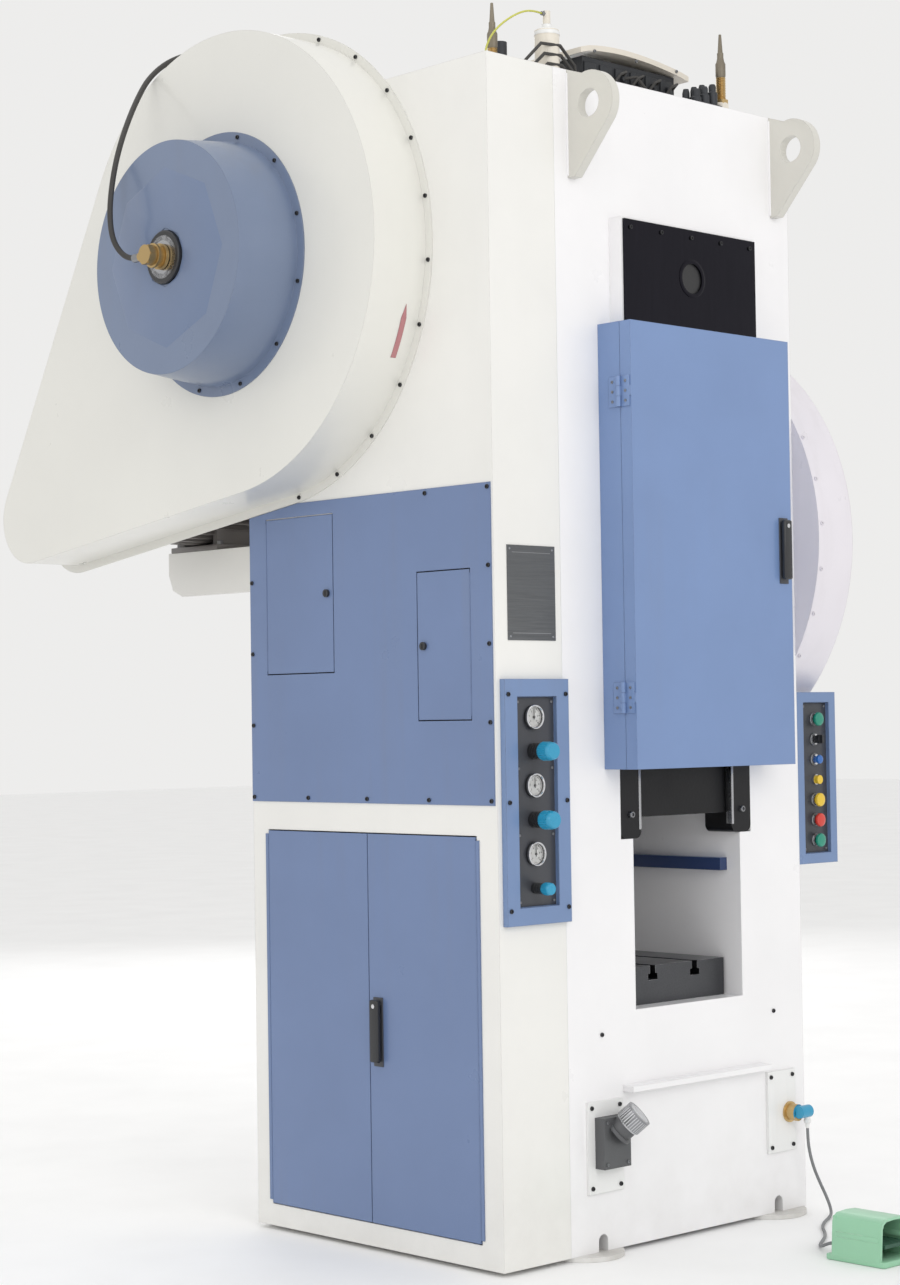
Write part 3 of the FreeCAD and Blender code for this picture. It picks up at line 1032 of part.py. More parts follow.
def button_station():
    """Blue tray on the frame's right side with a dark plate, bezels and push buttons."""
    face = f"-{HALF_DEPTH}"
    floor = f"(station_recess - {HALF_DEPTH})"
    blank = box("station_blank", HALF_WIDTH, face, "station_low", "station_width", "station_depth",
                "station_tall")
    recess = box("station_hollow", f"{HALF_WIDTH} + station_rim", face, "station_low + station_rim",
                 "station_width - 2 * station_rim", "station_recess", "station_tall - 2 * station_rim")
    holes = []
    fixed = []
    for index, (name, head_radius) in enumerate(BUTTONS):
        z = f"(button_high - button_pitch * {index})"
        holes.append(rod(f"{name}_hole", "y", STATION_X, floor, z, "button_stem + stem_gap",
                         "station_depth - station_recess - station_back"))
        fixed.append(ring(f"{name}_bezel", "y", STATION_X, f"{floor} - bezel_height", z, "bezel_radius",
                           "button_stem + stem_gap", "bezel_height"))
        if name == "station_lamp":
            lens_y = f"{floor} - bezel_height - head_thick"
            fixed.append(rod(name, "y", STATION_X, lens_y, z, head_radius, "head_thick"))
            continue
        head_y = f"{floor} - bezel_height - button_travel - head_thick - head_gap"
        stem_length = "head_thick / 2 + bezel_height + button_travel + stem_inside"
        stem = rod(f"{name}_stem", "y", STATION_X, f"{head_y} + head_thick / 2", z, "button_stem",
                   stem_length)
        pieces = [rod(f"{name}_head", "y", STATION_X, head_y, z, head_radius, "head_thick"), stem]
        if name == "selector_knob":
            pieces.append(box(f"{name}_grip", f"{STATION_X} - grip_width / 2", f"{head_y} - grip_lift",
                              f"{z} - grip_tall / 2", "grip_width", "grip_thick", "grip_tall"))
        node(name, fuse(name, pieces))
    tray = cut("station_tray", blank, [recess] + holes)
    node("button_station", group("button_station", [tray] + fixed))


def crown_fittings():
    """What stands on the crown: spindles, the valve box with its lid, valves and an oil bottle."""
    top = "press_height"
    spindles = []
    spots = {"rear": ("-rear_spindle_x", "-rear_spindle_y"), "front": ("front_spindle_x", "-front_spindle_y")}
    for name, (x, y) in spots.items():
        wide, narrow = size("spindle_base"), size("spindle_radius")
        foot = feature(f"spindle_foot_{name}", Part.makeCone(wide, narrow, size("spindle_foot")))
        foot.Placement = FreeCAD.Placement(V(size(x), size(y), size(top)), FreeCAD.Rotation())
        bar = rod(f"spindle_bar_{name}", "z", x, y, f"{top} + spindle_bar_start", "spindle_radius",
                  "spindle_height - spindle_bar_trim")
        tip = feature(f"spindle_tip_{name}",
                      Part.makeCone(narrow, size("spindle_point"), size("spindle_tip")))
        tip.Placement = FreeCAD.Placement(V(size(x), size(y), size(f"{top} + spindle_height - spindle_tip")),
                                          FreeCAD.Rotation())
        spindles.append(fuse(f"spindle_{name}", [foot, bar, tip]))
    node("crown_spindles", group("crown_spindles", spindles))
    chest = box("valve_chest", "-chest_left", "-chest_front", top, "chest_length", "chest_width",
                "chest_tall")
    left_valve = box("left_valve", "-valve_left", "-valve_front", top, "valve_side", "valve_side",
                     "valve_tall")
    valve_top = rod("left_valve_top", "z", "-valve_top_x", "-valve_top_y",
                    f"{top} + valve_tall - valve_sink", "valve_top_radius", "valve_top_tall")
    manifold = box("valve_manifold", "-manifold_left", "-manifold_front", f"{top} + manifold_lift",
                   "manifold_length", "manifold_side", "manifold_side")
    bottle = rod("oil_bottle", "z", "-bottle_x", "-bottle_y", top, "bottle_radius", "bottle_tall")
    bottle_neck = rod("oil_bottle_neck", "z", "-bottle_x", "-bottle_y",
                      f"{top} + bottle_tall - bottle_sink", "bottle_neck_radius", "bottle_neck_tall")
    elbow = rod("oil_bottle_elbow", "x", "-bottle_elbow_x", "-bottle_y", f"{top} + bottle_elbow_z",
                "bottle_elbow_radius", "bottle_elbow_length")
    node("crown_valves", group("crown_valves", [fuse("valve_block", [chest, left_valve, valve_top, manifold]),
                                                fuse("bottle_body", [bottle, bottle_neck, elbow])]))
    lid = box("crown_lid_sheet", "-lid_left", "-lid_front", f"{top} + chest_tall", "lid_length", "lid_width",
              "lid_tall")
    node("crown_lid", lid)


def cord_path(points):
    """Straight runs joined by tangent arcs, each as large as its two runs allow."""
    edges = []
    radii = []
    last = points[0]
    for index in range(1, len(points) - 1):
        before = points[index - 1] - points[index]
        after = points[index + 1] - points[index]
        run = min(before.Length, after.Length)
        before.normalize()
        after.normalize()
        turn = math.pi - before.getAngle(after)
        trim = 0.45 * run
        radius = trim / math.tan(turn / 2)
        centre_line = before + after
        centre_line.normalize()
        centre = points[index] + centre_line * (radius / math.cos(turn / 2))
        start = points[index] + before * trim
        finish = points[index] + after * trim
        middle = centre - centre_line * radius
        edges.append(Part.LineSegment(last, start).toShape())
        edges.append(Part.Arc(start, middle, finish).toShape())
        radii.append(round(radius, 1))
        last = finish
    edges.append(Part.LineSegment(last, points[-1]).toShape())
    return Part.Wire(edges), radii


def cord(name, points, diameter):
    points = [V(*point) for point in points]
    path, radii = cord_path(points)
    heading = points[1] - points[0]
    section = Part.Wire([Part.Circle(points[0], heading, diameter / 2).toShape()])
    tube = path.makePipeShell([section], True, True)
    expected = math.pi * diameter ** 2 / 4 * path.Length
    print(name, "length", round(path.Length, 1), "radii", radii, "volume ratio",
          round(tube.Volume / expected, 4))
    node(name, feature(name, tube))


# Each route is a list of points picked by hand along the hose, tube or cable.
CLUTCH_HOSE = [(-1180, 334.2, 2738.15), (-1180, 372, 2738.15), (-1184, 416, 2757), (-1190, 452, 2806),
               (-1189, 464, 2882), (-1175, 470, 2965), (-1145, 486, 3050), (-1090, 520, 3145),
               (-1018, 562, 3245), (-950, 590, 3330), (-868, 592, 3395), (-785, 560, 3425),
               (-715, 502, 3400), (-672, 440, 3340), (-655, 388, 3265), (-655, 388, 3200.2)]
AIR_TUBE = [(-392.2, -252, 3285), (-412, -258, 3303), (-418, -268, 3338), (-397, -282, 3384),
            (-350, -294, 3424), (-302, -301, 3450), (-258, -302, 3459), (-226.3, -300, 3458)]
FOOT_CABLE = [(438, -656, 264.8), (438, -656, 225), (444, -657, 180), (458, -661, 132), (474, -668, 92),
              (486, -680, 54), (484, -697, 24), (464, -717, 8), (428, -737, 4.7), (370, -765, 4.7),
              (305, -808, 4.7), (250, -862, 4.7), (200, -900, 4.7), (150, -928, 4.7), (103, -958, 5),
              (80, -986, 12), (69, -1014, 24), (66, -1038, 30), (66, -1059.8, 30)]


def foot_switch():
    """Guarded foot switch: a cast base with a hood, and its treadle."""
    x = "(switch_x - switch_width / 2)"
    y = "(-switch_y - switch_depth / 2)"
    block = box("switch_block", x, y, 0, "switch_width", "switch_depth", "switch_tall")
    mouth = box("switch_mouth", f"{x} + switch_wall", y, "switch_wall * 2", "switch_width - 2 * switch_wall",
                "switch_depth - switch_wall * 3", "switch_tall - switch_wall * 3")
    node("foot_switch", cut("foot_switch", block, [mouth]))
    pivot_y = "(-switch_y + switch_depth / 2 - switch_wall * 6)"
    tread = box("treadle_plate", f"{x} + switch_wall * 2", f"{y} + switch_wall", "switch_wall * 6",
                "switch_width - 4 * switch_wall", "switch_depth - switch_wall * 7", "treadle_thick")
    axle = rod("treadle_axle", "x", f"{x} + switch_wall + axle_gap", pivot_y,
               "switch_wall * 6 + treadle_thick / 2", "treadle_thick / 2 + axle_extra",
               "switch_width - 2 * switch_wall - 2 * axle_gap")
    node("foot_treadle", fuse("foot_treadle", [tread, axle]))


def cover_screws():
    """Heads of the screws that hold the covers, plates and trays."""
    heads = []

    def head(axis, x, y, z):
        heads.append(rod(f"screw_{len(heads)}", axis, x, y, z, "screw_radius", "screw_head"))
    panel_x = f"-{HOUSING_LEFT} - panel_sheet - screw_head"
    near = f"panel_margin + panel_screw_edge - {HALF_DEPTH}"
    far = f"housing_depth - panel_screw_edge - {HALF_DEPTH}"
    for step in range(5):
        z = f"panel_low + panel_screw_inset + (panel_high - panel_low - 2 * panel_screw_inset) * {step} / 4"
        head("x", panel_x, near, z)
        if step < 4:
            head("x", panel_x, far, z)
    for step in range(1, 4):
        y = f"panel_margin - {HALF_DEPTH} + (housing_depth - panel_margin) * {step} / 4"
        head("x", panel_x, y, "panel_low + panel_screw_inset")
        if step == 1:
            head("x", panel_x, y, "panel_high - panel_screw_inset")
    front = f"-{HALF_DEPTH}"
    for side in ("socket", "cable"):
        left = f"-{side}_plate_left" if side == "socket" else f"{side}_plate_left"
        for x in (f"{left} + port_screw_x", f"{left} + {side}_plate_width - port_screw_x"):
            for z in (f"{side}_plate_low + port_screw_z",
                      f"{side}_plate_low + {side}_plate_tall - port_screw_z"):
                head("y", x, f"{front} - port_thick - screw_head", z)
    for x in ("air_screw_x - air_left", "air_width - air_left - air_screw_x"):
        for z in ("air_low + air_screw_z", "air_low + air_tall / 2", "air_low + air_tall - air_screw_z"):
            head("y", x, f"{front} - air_depth - screw_head", z)
    crown_y = f"{front} - crown_block_depth - crown_plate_thick - screw_head"
    for step in range(5):
        x = f"(crown_block_width / 2 - crown_screw_x) * ({step} - 2) / 2"
        head("y", x, crown_y, "crown_block_high - crown_screw_z")
    for x in ("plug_left - notch_spread", "notch_spread - plug_right"):
        head("y", x, f"{front} - screw_head", "bed_height - plug_drop")
    for step in range(12):
        angle = math.radians(30 * step + 15)
        reach = "(cap_base_radius + cap_flange / 2)"
        head("x", f"-{HOUSING_LEFT} - guard_depth - cap_sheet - screw_head",
             f"{SHAFT_Y} + {reach} * {math.cos(angle):.4f}", f"{SHAFT_Z} + {reach} * {math.sin(angle):.4f}")
    for step in range(11):
        angle = math.radians(110 + 15 * step)
        reach = "(guard_radius + guard_flange / 2)"
        head("x", f"-{HOUSING_LEFT} - cover_sheet - screw_head",
             f"{SHAFT_Y} + {reach} * {math.cos(angle):.4f}", f"{SHAFT_Z} + {reach} * {math.sin(angle):.4f}")
    node("cover_screws", group("cover_screws", heads))


press_frame()
machine_pads()
side_housing()
side_panel()
cabinet_doors()
belt_guard()
gear_cover()
clutch_cap()
rotary_union()
flywheel()
motor_pulley()
v_belts()
gear_train()
clutch_unit()
bearings()
crankshaft()
connecting_rod()
slide()
gibs()
bolster()
side_rails()
motor()
motor_bracket()
front_door()
front_fittings()
air_panel()
button_station()
crown_fittings()
cord("clutch_hose", CLUTCH_HOSE, size("hose_diameter"))
cord("air_tube", AIR_TUBE, size("tube_diameter"))
cord("foot_cable", FOOT_CABLE, size("cable_diameter"))
foot_switch()
cover_screws()

doc.recompute()
faults = []
for thing in doc.Objects:
    if "Invalid" in thing.State or "Error" in thing.State:
        faults.append(f"{thing.Name} {thing.State}")
for thing in NODES:
    if thing.Shape.isNull() or not thing.Shape.isValid() or not thing.Shape.Solids:
        faults.append(f"{thing.Label} has no valid solid")
if faults:
    raise RuntimeError("; ".join(faults))

os.makedirs("parts", exist_ok=True)
for thing in NODES:
    thing.Shape.exportStep(os.path.join("parts", f"{thing.Label}.step"))
print(len(NODES), "sub-parts written")
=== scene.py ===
import bpy
import bmesh
import json
import math
from mathutils import Matrix, Vector


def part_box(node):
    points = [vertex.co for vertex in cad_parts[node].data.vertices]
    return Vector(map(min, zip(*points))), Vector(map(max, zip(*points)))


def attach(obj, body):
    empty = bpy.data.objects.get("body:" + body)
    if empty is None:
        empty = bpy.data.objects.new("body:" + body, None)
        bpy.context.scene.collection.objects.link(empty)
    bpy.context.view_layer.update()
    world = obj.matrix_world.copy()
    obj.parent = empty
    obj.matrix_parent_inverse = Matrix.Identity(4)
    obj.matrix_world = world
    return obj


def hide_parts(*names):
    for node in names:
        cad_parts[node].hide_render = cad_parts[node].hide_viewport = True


# A straight-side geared stamping press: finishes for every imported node, the pieces too fine for the
# construction model, and the hoses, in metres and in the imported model's own frame.

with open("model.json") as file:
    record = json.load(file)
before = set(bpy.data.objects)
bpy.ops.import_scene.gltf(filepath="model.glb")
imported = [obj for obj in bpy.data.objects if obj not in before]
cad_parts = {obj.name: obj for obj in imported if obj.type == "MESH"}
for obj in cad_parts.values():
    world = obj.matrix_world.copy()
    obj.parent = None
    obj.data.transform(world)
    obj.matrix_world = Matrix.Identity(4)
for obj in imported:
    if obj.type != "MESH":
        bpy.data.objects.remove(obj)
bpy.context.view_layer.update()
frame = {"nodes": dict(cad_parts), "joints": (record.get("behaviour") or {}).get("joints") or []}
scene = bpy.context.scene
nodes = frame["nodes"]


# --- Camera, light and floor ------------------------------------------------------------------

def aim(place, yaw, pitch, roll):
    """A camera matrix: yaw from +Y towards +X, pitch above the horizon, roll about the view line."""
    forward = Vector((math.sin(yaw) * math.cos(pitch), math.cos(yaw) * math.cos(pitch), math.sin(pitch)))
    right = Vector((math.cos(yaw), -math.sin(yaw), 0))
    up = right.cross(forward)
    across = right * math.cos(roll) + up * math.sin(roll)
    upward = up * math.cos(roll) - right * math.sin(roll)
    turn = Matrix((across, upward, -forward)).transposed()
    return Matrix.Translation(place) @ turn.to_4x4()


CAMERA_PLACE = Vector((-5.345, -5.279, 1.4445))
CAMERA_TURNS = [math.radians(turn) for turn in (43.49, 1.767, -0.845)]
FOCAL_LENGTH = 70.6
FLOOR_HALF = 40


def make_camera():
    """The photograph's camera, solved from its vanishing directions."""
    lens = bpy.data.cameras.new("camera")
    lens.lens = FOCAL_LENGTH
    lens.sensor_width = 36
    lens.clip_end = 100
    camera = bpy.data.objects.new("camera", lens)
    scene.collection.objects.link(camera)
    camera.matrix_world = aim(CAMERA_PLACE, *CAMERA_TURNS)
    scene.camera = camera


def area_light(name, place, target, width, height, watts):
    """A soft lamp at place that faces target."""
    lamp = bpy.data.lights.new(name, "AREA")
    lamp.shape = "RECTANGLE"
    lamp.size = width
    lamp.size_y = height
    lamp.energy = watts
    holder = bpy.data.objects.new(name, lamp)
    scene.collection.objects.link(holder)
    holder.location = place
    holder.rotation_euler = (Vector(target) - Vector(place)).to_track_quat("-Z", "Y").to_euler()


def make_studio():
    """An even pale sky, four soft lamps and a plain pale floor."""
    scene.view_settings.view_transform = "Standard"
    world = bpy.data.worlds.new("studio")
    scene.world = world
    world.use_nodes = True
    sky = world.node_tree.nodes["Background"]
    sky.inputs["Color"].default_value = (1, 0.995, 0.985, 1)
    sky.inputs["Strength"].default_value = 0.85
    area_light("key", (-2.0, -7.5, 4.5), (0, 0, 1.5), 5, 4, 130)
    area_light("side", (-8.5, -1.5, 4.5), (0, 0, 1.9), 5, 4, 70)
    area_light("top", (-1.0, 0.5, 8.0), (0, 0, 2), 6, 5, 50)
    area_light("rear", (5, 6.5, 4.5), (0, 0, 1.8), 5, 4, 110)
    corners = [(FLOOR_HALF * x, FLOOR_HALF * y, 0) for x, y in ((-1, -1), (1, -1), (1, 1), (-1, 1))]
    shape = bpy.data.meshes.new("floor")
    shape.from_pydata(corners, [], [(0, 1, 2, 3)])
    floor = bpy.data.objects.new("floor", shape)
    scene.collection.objects.link(floor)
    floor.location.z = -0.0005
    shape.materials.append(finish("floor_screed", shade(248, 248, 248), rough=0.75, mottle=0.02, peel=0.1))


# --- Finishes ---------------------------------------------------------------------------------

def shade(red, green, blue):
    """A display colour, 0 to 255, as linear light."""
    parts = []
    for value in (red, green, blue):
        value /= 255
        parts.append(value / 12.92 if value <= 0.04045 else ((value + 0.055) / 1.055) ** 2.4)
    return tuple(parts)


class Graph:
    """A small helper that adds shader nodes to one material."""

    def __init__(self, name):
        self.material = bpy.data.materials.new(name)
        self.material.use_nodes = True
        self.tree = self.material.node_tree
        self.shader = self.tree.nodes["Principled BSDF"]
        self.place = self.tree.nodes.new("ShaderNodeTexCoord").outputs["Object"]

    def add(self, kind, inputs=None, **settings):
        node = self.tree.nodes.new(kind)
        for key, value in settings.items():
            setattr(node, key, value)
        for key, value in (inputs or {}).items():
            if hasattr(value, "is_linked"):
                self.tree.links.new(value, node.inputs[key])
            else:
                node.inputs[key].default_value = value
        return node

    def stretched(self, x, y, z):
        return self.add("ShaderNodeMapping", {"Vector": self.place, "Scale": (x, y, z)}).outputs["Vector"]

    def noise(self, scale, detail=4, vector=None, roughness=0.55):
        inputs = {"Vector": vector or self.place, "Scale": scale, "Detail": detail, "Roughness": roughness}
        return self.add("ShaderNodeTexNoise", inputs).outputs["Fac"]

    def ramp(self, value, low, high, to_low=0.0, to_high=1.0):
        inputs = {"Value": value, "From Min": low, "From Max": high, "To Min": to_low, "To Max": to_high}
        return self.add("ShaderNodeMapRange", inputs).outputs["Result"]

    def times(self, first, second):
        return self.add("ShaderNodeMath", {0: first, 1: second}, operation="MULTIPLY").outputs["Value"]

    def mix(self, factor, first, second):
        node = self.add("ShaderNodeMix", data_type="RGBA")
        for index, value in ((0, factor), (6, first), (7, second)):
            if hasattr(value, "is_linked"):
                self.tree.links.new(value, node.inputs[index])
            else:
                node.inputs[index].default_value = value if index == 0 else (*value[:3], 1)
        return node.outputs[2]

    def link(self, output, name):
        self.tree.links.new(output, self.shader.inputs[name])

    def bump(self, height, strength, distance, rounding):
        inputs = {"Height": height, "Strength": strength, "Distance": distance}
        if rounding:
            inputs["Normal"] = self.add("ShaderNodeBevel", {"Radius": rounding}, samples=4).outputs["Normal"]
        self.link(self.add("ShaderNodeBump", inputs).outputs["Normal"], "Normal")

    def edges(self, radius):
        """Near 1 on outer and inner edges, 0 on flat faces."""
        soft = self.add("ShaderNodeBevel", {"Radius": radius}, samples=4).outputs["Normal"]
        plain = self.add("ShaderNodeNewGeometry").outputs["Normal"]
        same = self.add("ShaderNodeVectorMath", {0: soft, 1: plain}, operation="DOT_PRODUCT")
        return self.ramp(same.outputs["Value"], 0.995, 0.75)


FINISHES = {}


def scaled(colour, factor):
    return tuple(min(1.0, part * factor) for part in colour)


def finish(name, colour, rough=0.4, metal=0.0, mottle=0.06, streak=0.0, dust=0.0, peel=0.3, grain=220,
           wear=None, wear_width=0.002, brush=None, coat=0.0, rounding=0.0, light_top=None, sheen=0.0,
           clear=0.0):
    """One procedural finish; colour, roughness and relief all vary over the surface in metres."""
    if name in FINISHES:
        return FINISHES[name]
    graph = Graph(name)
    blotch = graph.ramp(graph.noise(2.3, 5), 0.3, 0.7)
    tone = graph.mix(blotch, scaled(colour, 1 - mottle), scaled(colour, 1 + mottle))
    fine = graph.noise(grain, 3)
    if brush:
        lines = graph.noise(6, 6, graph.stretched(*brush), 0.7)
        tone = graph.mix(graph.ramp(lines, 0.3, 0.7), scaled(colour, 0.72), tone)
    # Painted light: faces that look up are blended toward a lighter colour, a painted highlight from above.
    if light_top:
        facing = graph.add("ShaderNodeSeparateXYZ", {"Vector": graph.add("ShaderNodeNewGeometry").outputs[
            "Normal"]}).outputs["Z"]
        tone = graph.mix(graph.ramp(facing, 0.5, 0.9), tone, light_top)
    if streak:
        runs = graph.ramp(graph.noise(1, 5, graph.stretched(16, 16, 0.9)), 0.5, 0.82)
        patches = graph.ramp(graph.noise(1.1, 2), 0.42, 0.7)
        tone = graph.mix(graph.times(graph.times(runs, patches), streak), tone, shade(120, 112, 98))
    if dust:
        height = graph.add("ShaderNodeSeparateXYZ", {"Vector": graph.place}).outputs["Z"]
        low = graph.ramp(height, 0.55, 0.0)
        specks = graph.ramp(graph.noise(9, 6), 0.35, 0.75)
        tone = graph.mix(graph.times(graph.times(low, specks), dust), tone, shade(128, 118, 102))
    if wear:
        chips = graph.ramp(graph.noise(38, 5), 0.42, 0.6)
        tone = graph.mix(graph.times(graph.edges(wear_width), chips), tone, wear)
    graph.link(tone, "Base Color")
    spread = graph.ramp(graph.noise(7, 6), 0.25, 0.75, max(0.02, rough - 0.07), min(1.0, rough + 0.08))
    graph.link(spread, "Roughness")
    graph.shader.inputs["Metallic"].default_value = metal
    graph.shader.inputs["Coat Weight"].default_value = coat
    graph.shader.inputs["Coat Roughness"].default_value = 0.12
    graph.shader.inputs["Sheen Weight"].default_value = sheen
    graph.shader.inputs["Transmission Weight"].default_value = clear
    relief = graph.noise(grain, 4, graph.stretched(*brush) if brush else None)
    graph.bump(graph.add("ShaderNodeMath", {0: fine, 1: relief}, operation="ADD").outputs["Value"], peel,
               0.0004, rounding)
    FINISHES[name] = graph.material
    return graph.material


def paint(name, colour, **changes):
    settings = {"rough": 0.33, "mottle": 0.03, "streak": 0.22, "peel": 0.16, "coat": 0.25, "rounding": 0.003}
    settings.update(changes)
    return finish(name, colour, **settings)


def plastic(name, colour, **changes):
    settings = {"rough": 0.3, "mottle": 0.05, "peel": 0.12, "grain": 900, "coat": 0.2}
    settings.update(changes)
    return finish(name, colour, **settings)


def steel(name, colour, **changes):
    settings = {"rough": 0.36, "metal": 1.0, "mottle": 0.1, "peel": 0.2, "rounding": 0.001}
    settings.update(changes)
    return finish(name, colour, **settings)


BARE_EDGE = shade(96, 100, 108)
WHITE = paint("white_front", shade(240, 239, 240), dust=0.12, streak=0.02)
WHITE_SIDE = paint("white_side", shade(233, 232, 228), dust=0.12, streak=0.02)
LUG_GREY = paint("lug_grey", shade(208, 206, 198), mottle=0.03, streak=0.02)
WHITE_GUARD = paint("white_guard", shade(226, 225, 219), mottle=0.02, streak=0.02)
WHITE_COVER = paint("white_cover", shade(226, 222, 228))
DOOR_BLUE = paint("door_blue", shade(115, 140, 184), mottle=0.05, wear=shade(96, 118, 160))
PANEL_BLUE = paint("panel_blue", shade(106, 126, 165), mottle=0.05, wear=shade(84, 100, 136))
TRAY_BLUE = paint("tray_blue", shade(112, 136, 176), mottle=0.05, wear=BARE_EDGE)
CAP_BLUE = paint("cap_blue", shade(114, 128, 154), mottle=0.06)
# Painted light: the rails' one blue paint is split by facing, a lit colour on upward faces and a dark blue
# painted shade on the sides.
RAIL_BLUE = paint("rail_blue", shade(38, 58, 102), light_top=shade(120, 146, 190), wear=BARE_EDGE)
GREY_PLATE = paint("grey_plate", shade(234, 234, 233))
MOTOR_PAINT = paint("motor_paint", shade(110, 106, 104), mottle=0.08, dust=0.1)
# The vertical streaks in this plate's colour are brushed grain and partly a painted reflection, standing for
# the vertical reflections on the glossy plate.
DARK_PLATE = steel("dark_plate", shade(40, 39, 46), rough=0.2, brush=(70, 70, 1.2), peel=0.25)
NAME_METAL = steel("name_metal", shade(112, 114, 116), rough=0.42, brush=(1.5, 1.5, 60), metal=0.75)
SLIDE_BLACK = finish("slide_black", shade(16, 16, 19), rough=0.42, metal=0.35, mottle=0.25, grain=90,
                     peel=0.5,
                     wear=shade(120, 120, 122), rounding=0.002)
GIB_BLACK = finish("gib_black", shade(22, 22, 25), rough=0.38, metal=0.4, mottle=0.2, grain=120, peel=0.35,
                   wear=shade(130, 130, 132), rounding=0.002)
# Painted highlight: the bolster's upward faces are blended toward a lighter steel colour.
BOLSTER_STEEL = steel("bolster_steel", shade(92, 93, 96), rough=0.34, brush=(50, 1.5, 50),
                      wear=shade(205, 206, 208),
                      light_top=shade(124, 125, 128))
CAST_IRON = finish("cast_iron", shade(66, 67, 70), rough=0.55, metal=0.6, mottle=0.2, grain=160, peel=0.7,
                   rounding=0.002)
BRIGHT_STEEL = steel("bright_steel", shade(190, 191, 194), rough=0.24, brush=(90, 1.2, 1.2))
SCREW_STEEL = steel("screw_steel", shade(150, 151, 154), rough=0.32, rounding=0)
BLACK_SCREW = steel("black_screw", shade(62, 62, 64), rough=0.4, metal=0.7, rounding=0)
BRASS = steel("brass", shade(196, 168, 118), rough=0.34, mottle=0.16)
CHROME = steel("chrome", shade(214, 215, 218), rough=0.12, mottle=0.03, peel=0.05, rounding=0)
SPINDLE_GREY = finish("spindle_grey", shade(128, 120, 106), rough=0.5, metal=0.6, mottle=0.25, grain=300,
                      peel=0.6)
BLACK_PLASTIC = plastic("black_plastic", shade(34, 35, 38), rough=0.42, grain=1400, peel=0.3)
PLATE_BLACK = plastic("plate_black", shade(58, 60, 66), rough=0.45, grain=1400, peel=0.3)
CREAM = plastic("cream_plastic", shade(226, 219, 206), rough=0.45)
VALVE_DARK = finish("valve_dark", shade(52, 54, 58), rough=0.5, metal=0.3, mottle=0.25, grain=400, peel=0.4,
                    rounding=0.002)
HOSE = finish("hose_rubber", shade(58, 56, 54), rough=0.55, mottle=0.2, grain=700, peel=0.4, dust=0)
TUBE_YELLOW = plastic("tube_yellow", shade(206, 206, 92), rough=0.25, clear=0.2)
CABLE_GREY = finish("cable_grey", shade(120, 122, 124), rough=0.5, mottle=0.12, grain=900, peel=0.25)
RUBBER = finish("belt_rubber", shade(40, 40, 41), rough=0.7, mottle=0.2, grain=500, peel=0.6)
PAD_WHITE = finish("pad_finish", shade(222, 221, 218), rough=0.5, mottle=0.06, dust=0.4, peel=0.3)
SWITCH_GREEN = finish("switch_green", shade(150, 202, 168), rough=0.4, mottle=0.1, grain=500, peel=0.5,
                      wear=shade(190, 214, 196), rounding=0.002, coat=0.2)
TREADLE = finish("treadle_dark", shade(44, 84, 66), rough=0.6, mottle=0.2, grain=700, peel=0.5)
KNOB_BLUE = plastic("knob_blue", shade(42, 148, 186), mottle=0.08)
BUTTON_GREEN = plastic("button_green", shade(34, 140, 116))
BUTTON_BLUE = plastic("button_blue", shade(44, 104, 180))
BUTTON_YELLOW = plastic("button_yellow", shade(226, 190, 52))
BUTTON_RED = plastic("button_red", shade(206, 60, 48))
DIAL_WHITE = finish("dial_white", shade(248, 248, 246), rough=0.5, mottle=0.02, peel=0.05, grain=900)
DIAL_BLACK = plastic("dial_black", shade(28, 28, 30), rough=0.5)
CAP_FACE_BLUE = paint("cap_face_blue", shade(108, 124, 154), mottle=0.06)
CAST_GREY = finish("cast_grey", shade(96, 97, 99), rough=0.5, metal=0.5, mottle=0.2, grain=260, peel=0.6,
                   rounding=0.0015)
ALUMINIUM = steel("aluminium", shade(206, 207, 210), rough=0.28, mottle=0.05, rounding=0)
ARROW_RED = paint("arrow_red", shade(180, 120, 124), streak=0.1)
GLASS = plastic("gauge_glass", (1, 1, 1), rough=0.05, mottle=0, peel=0.02, clear=1.0, coat=0)

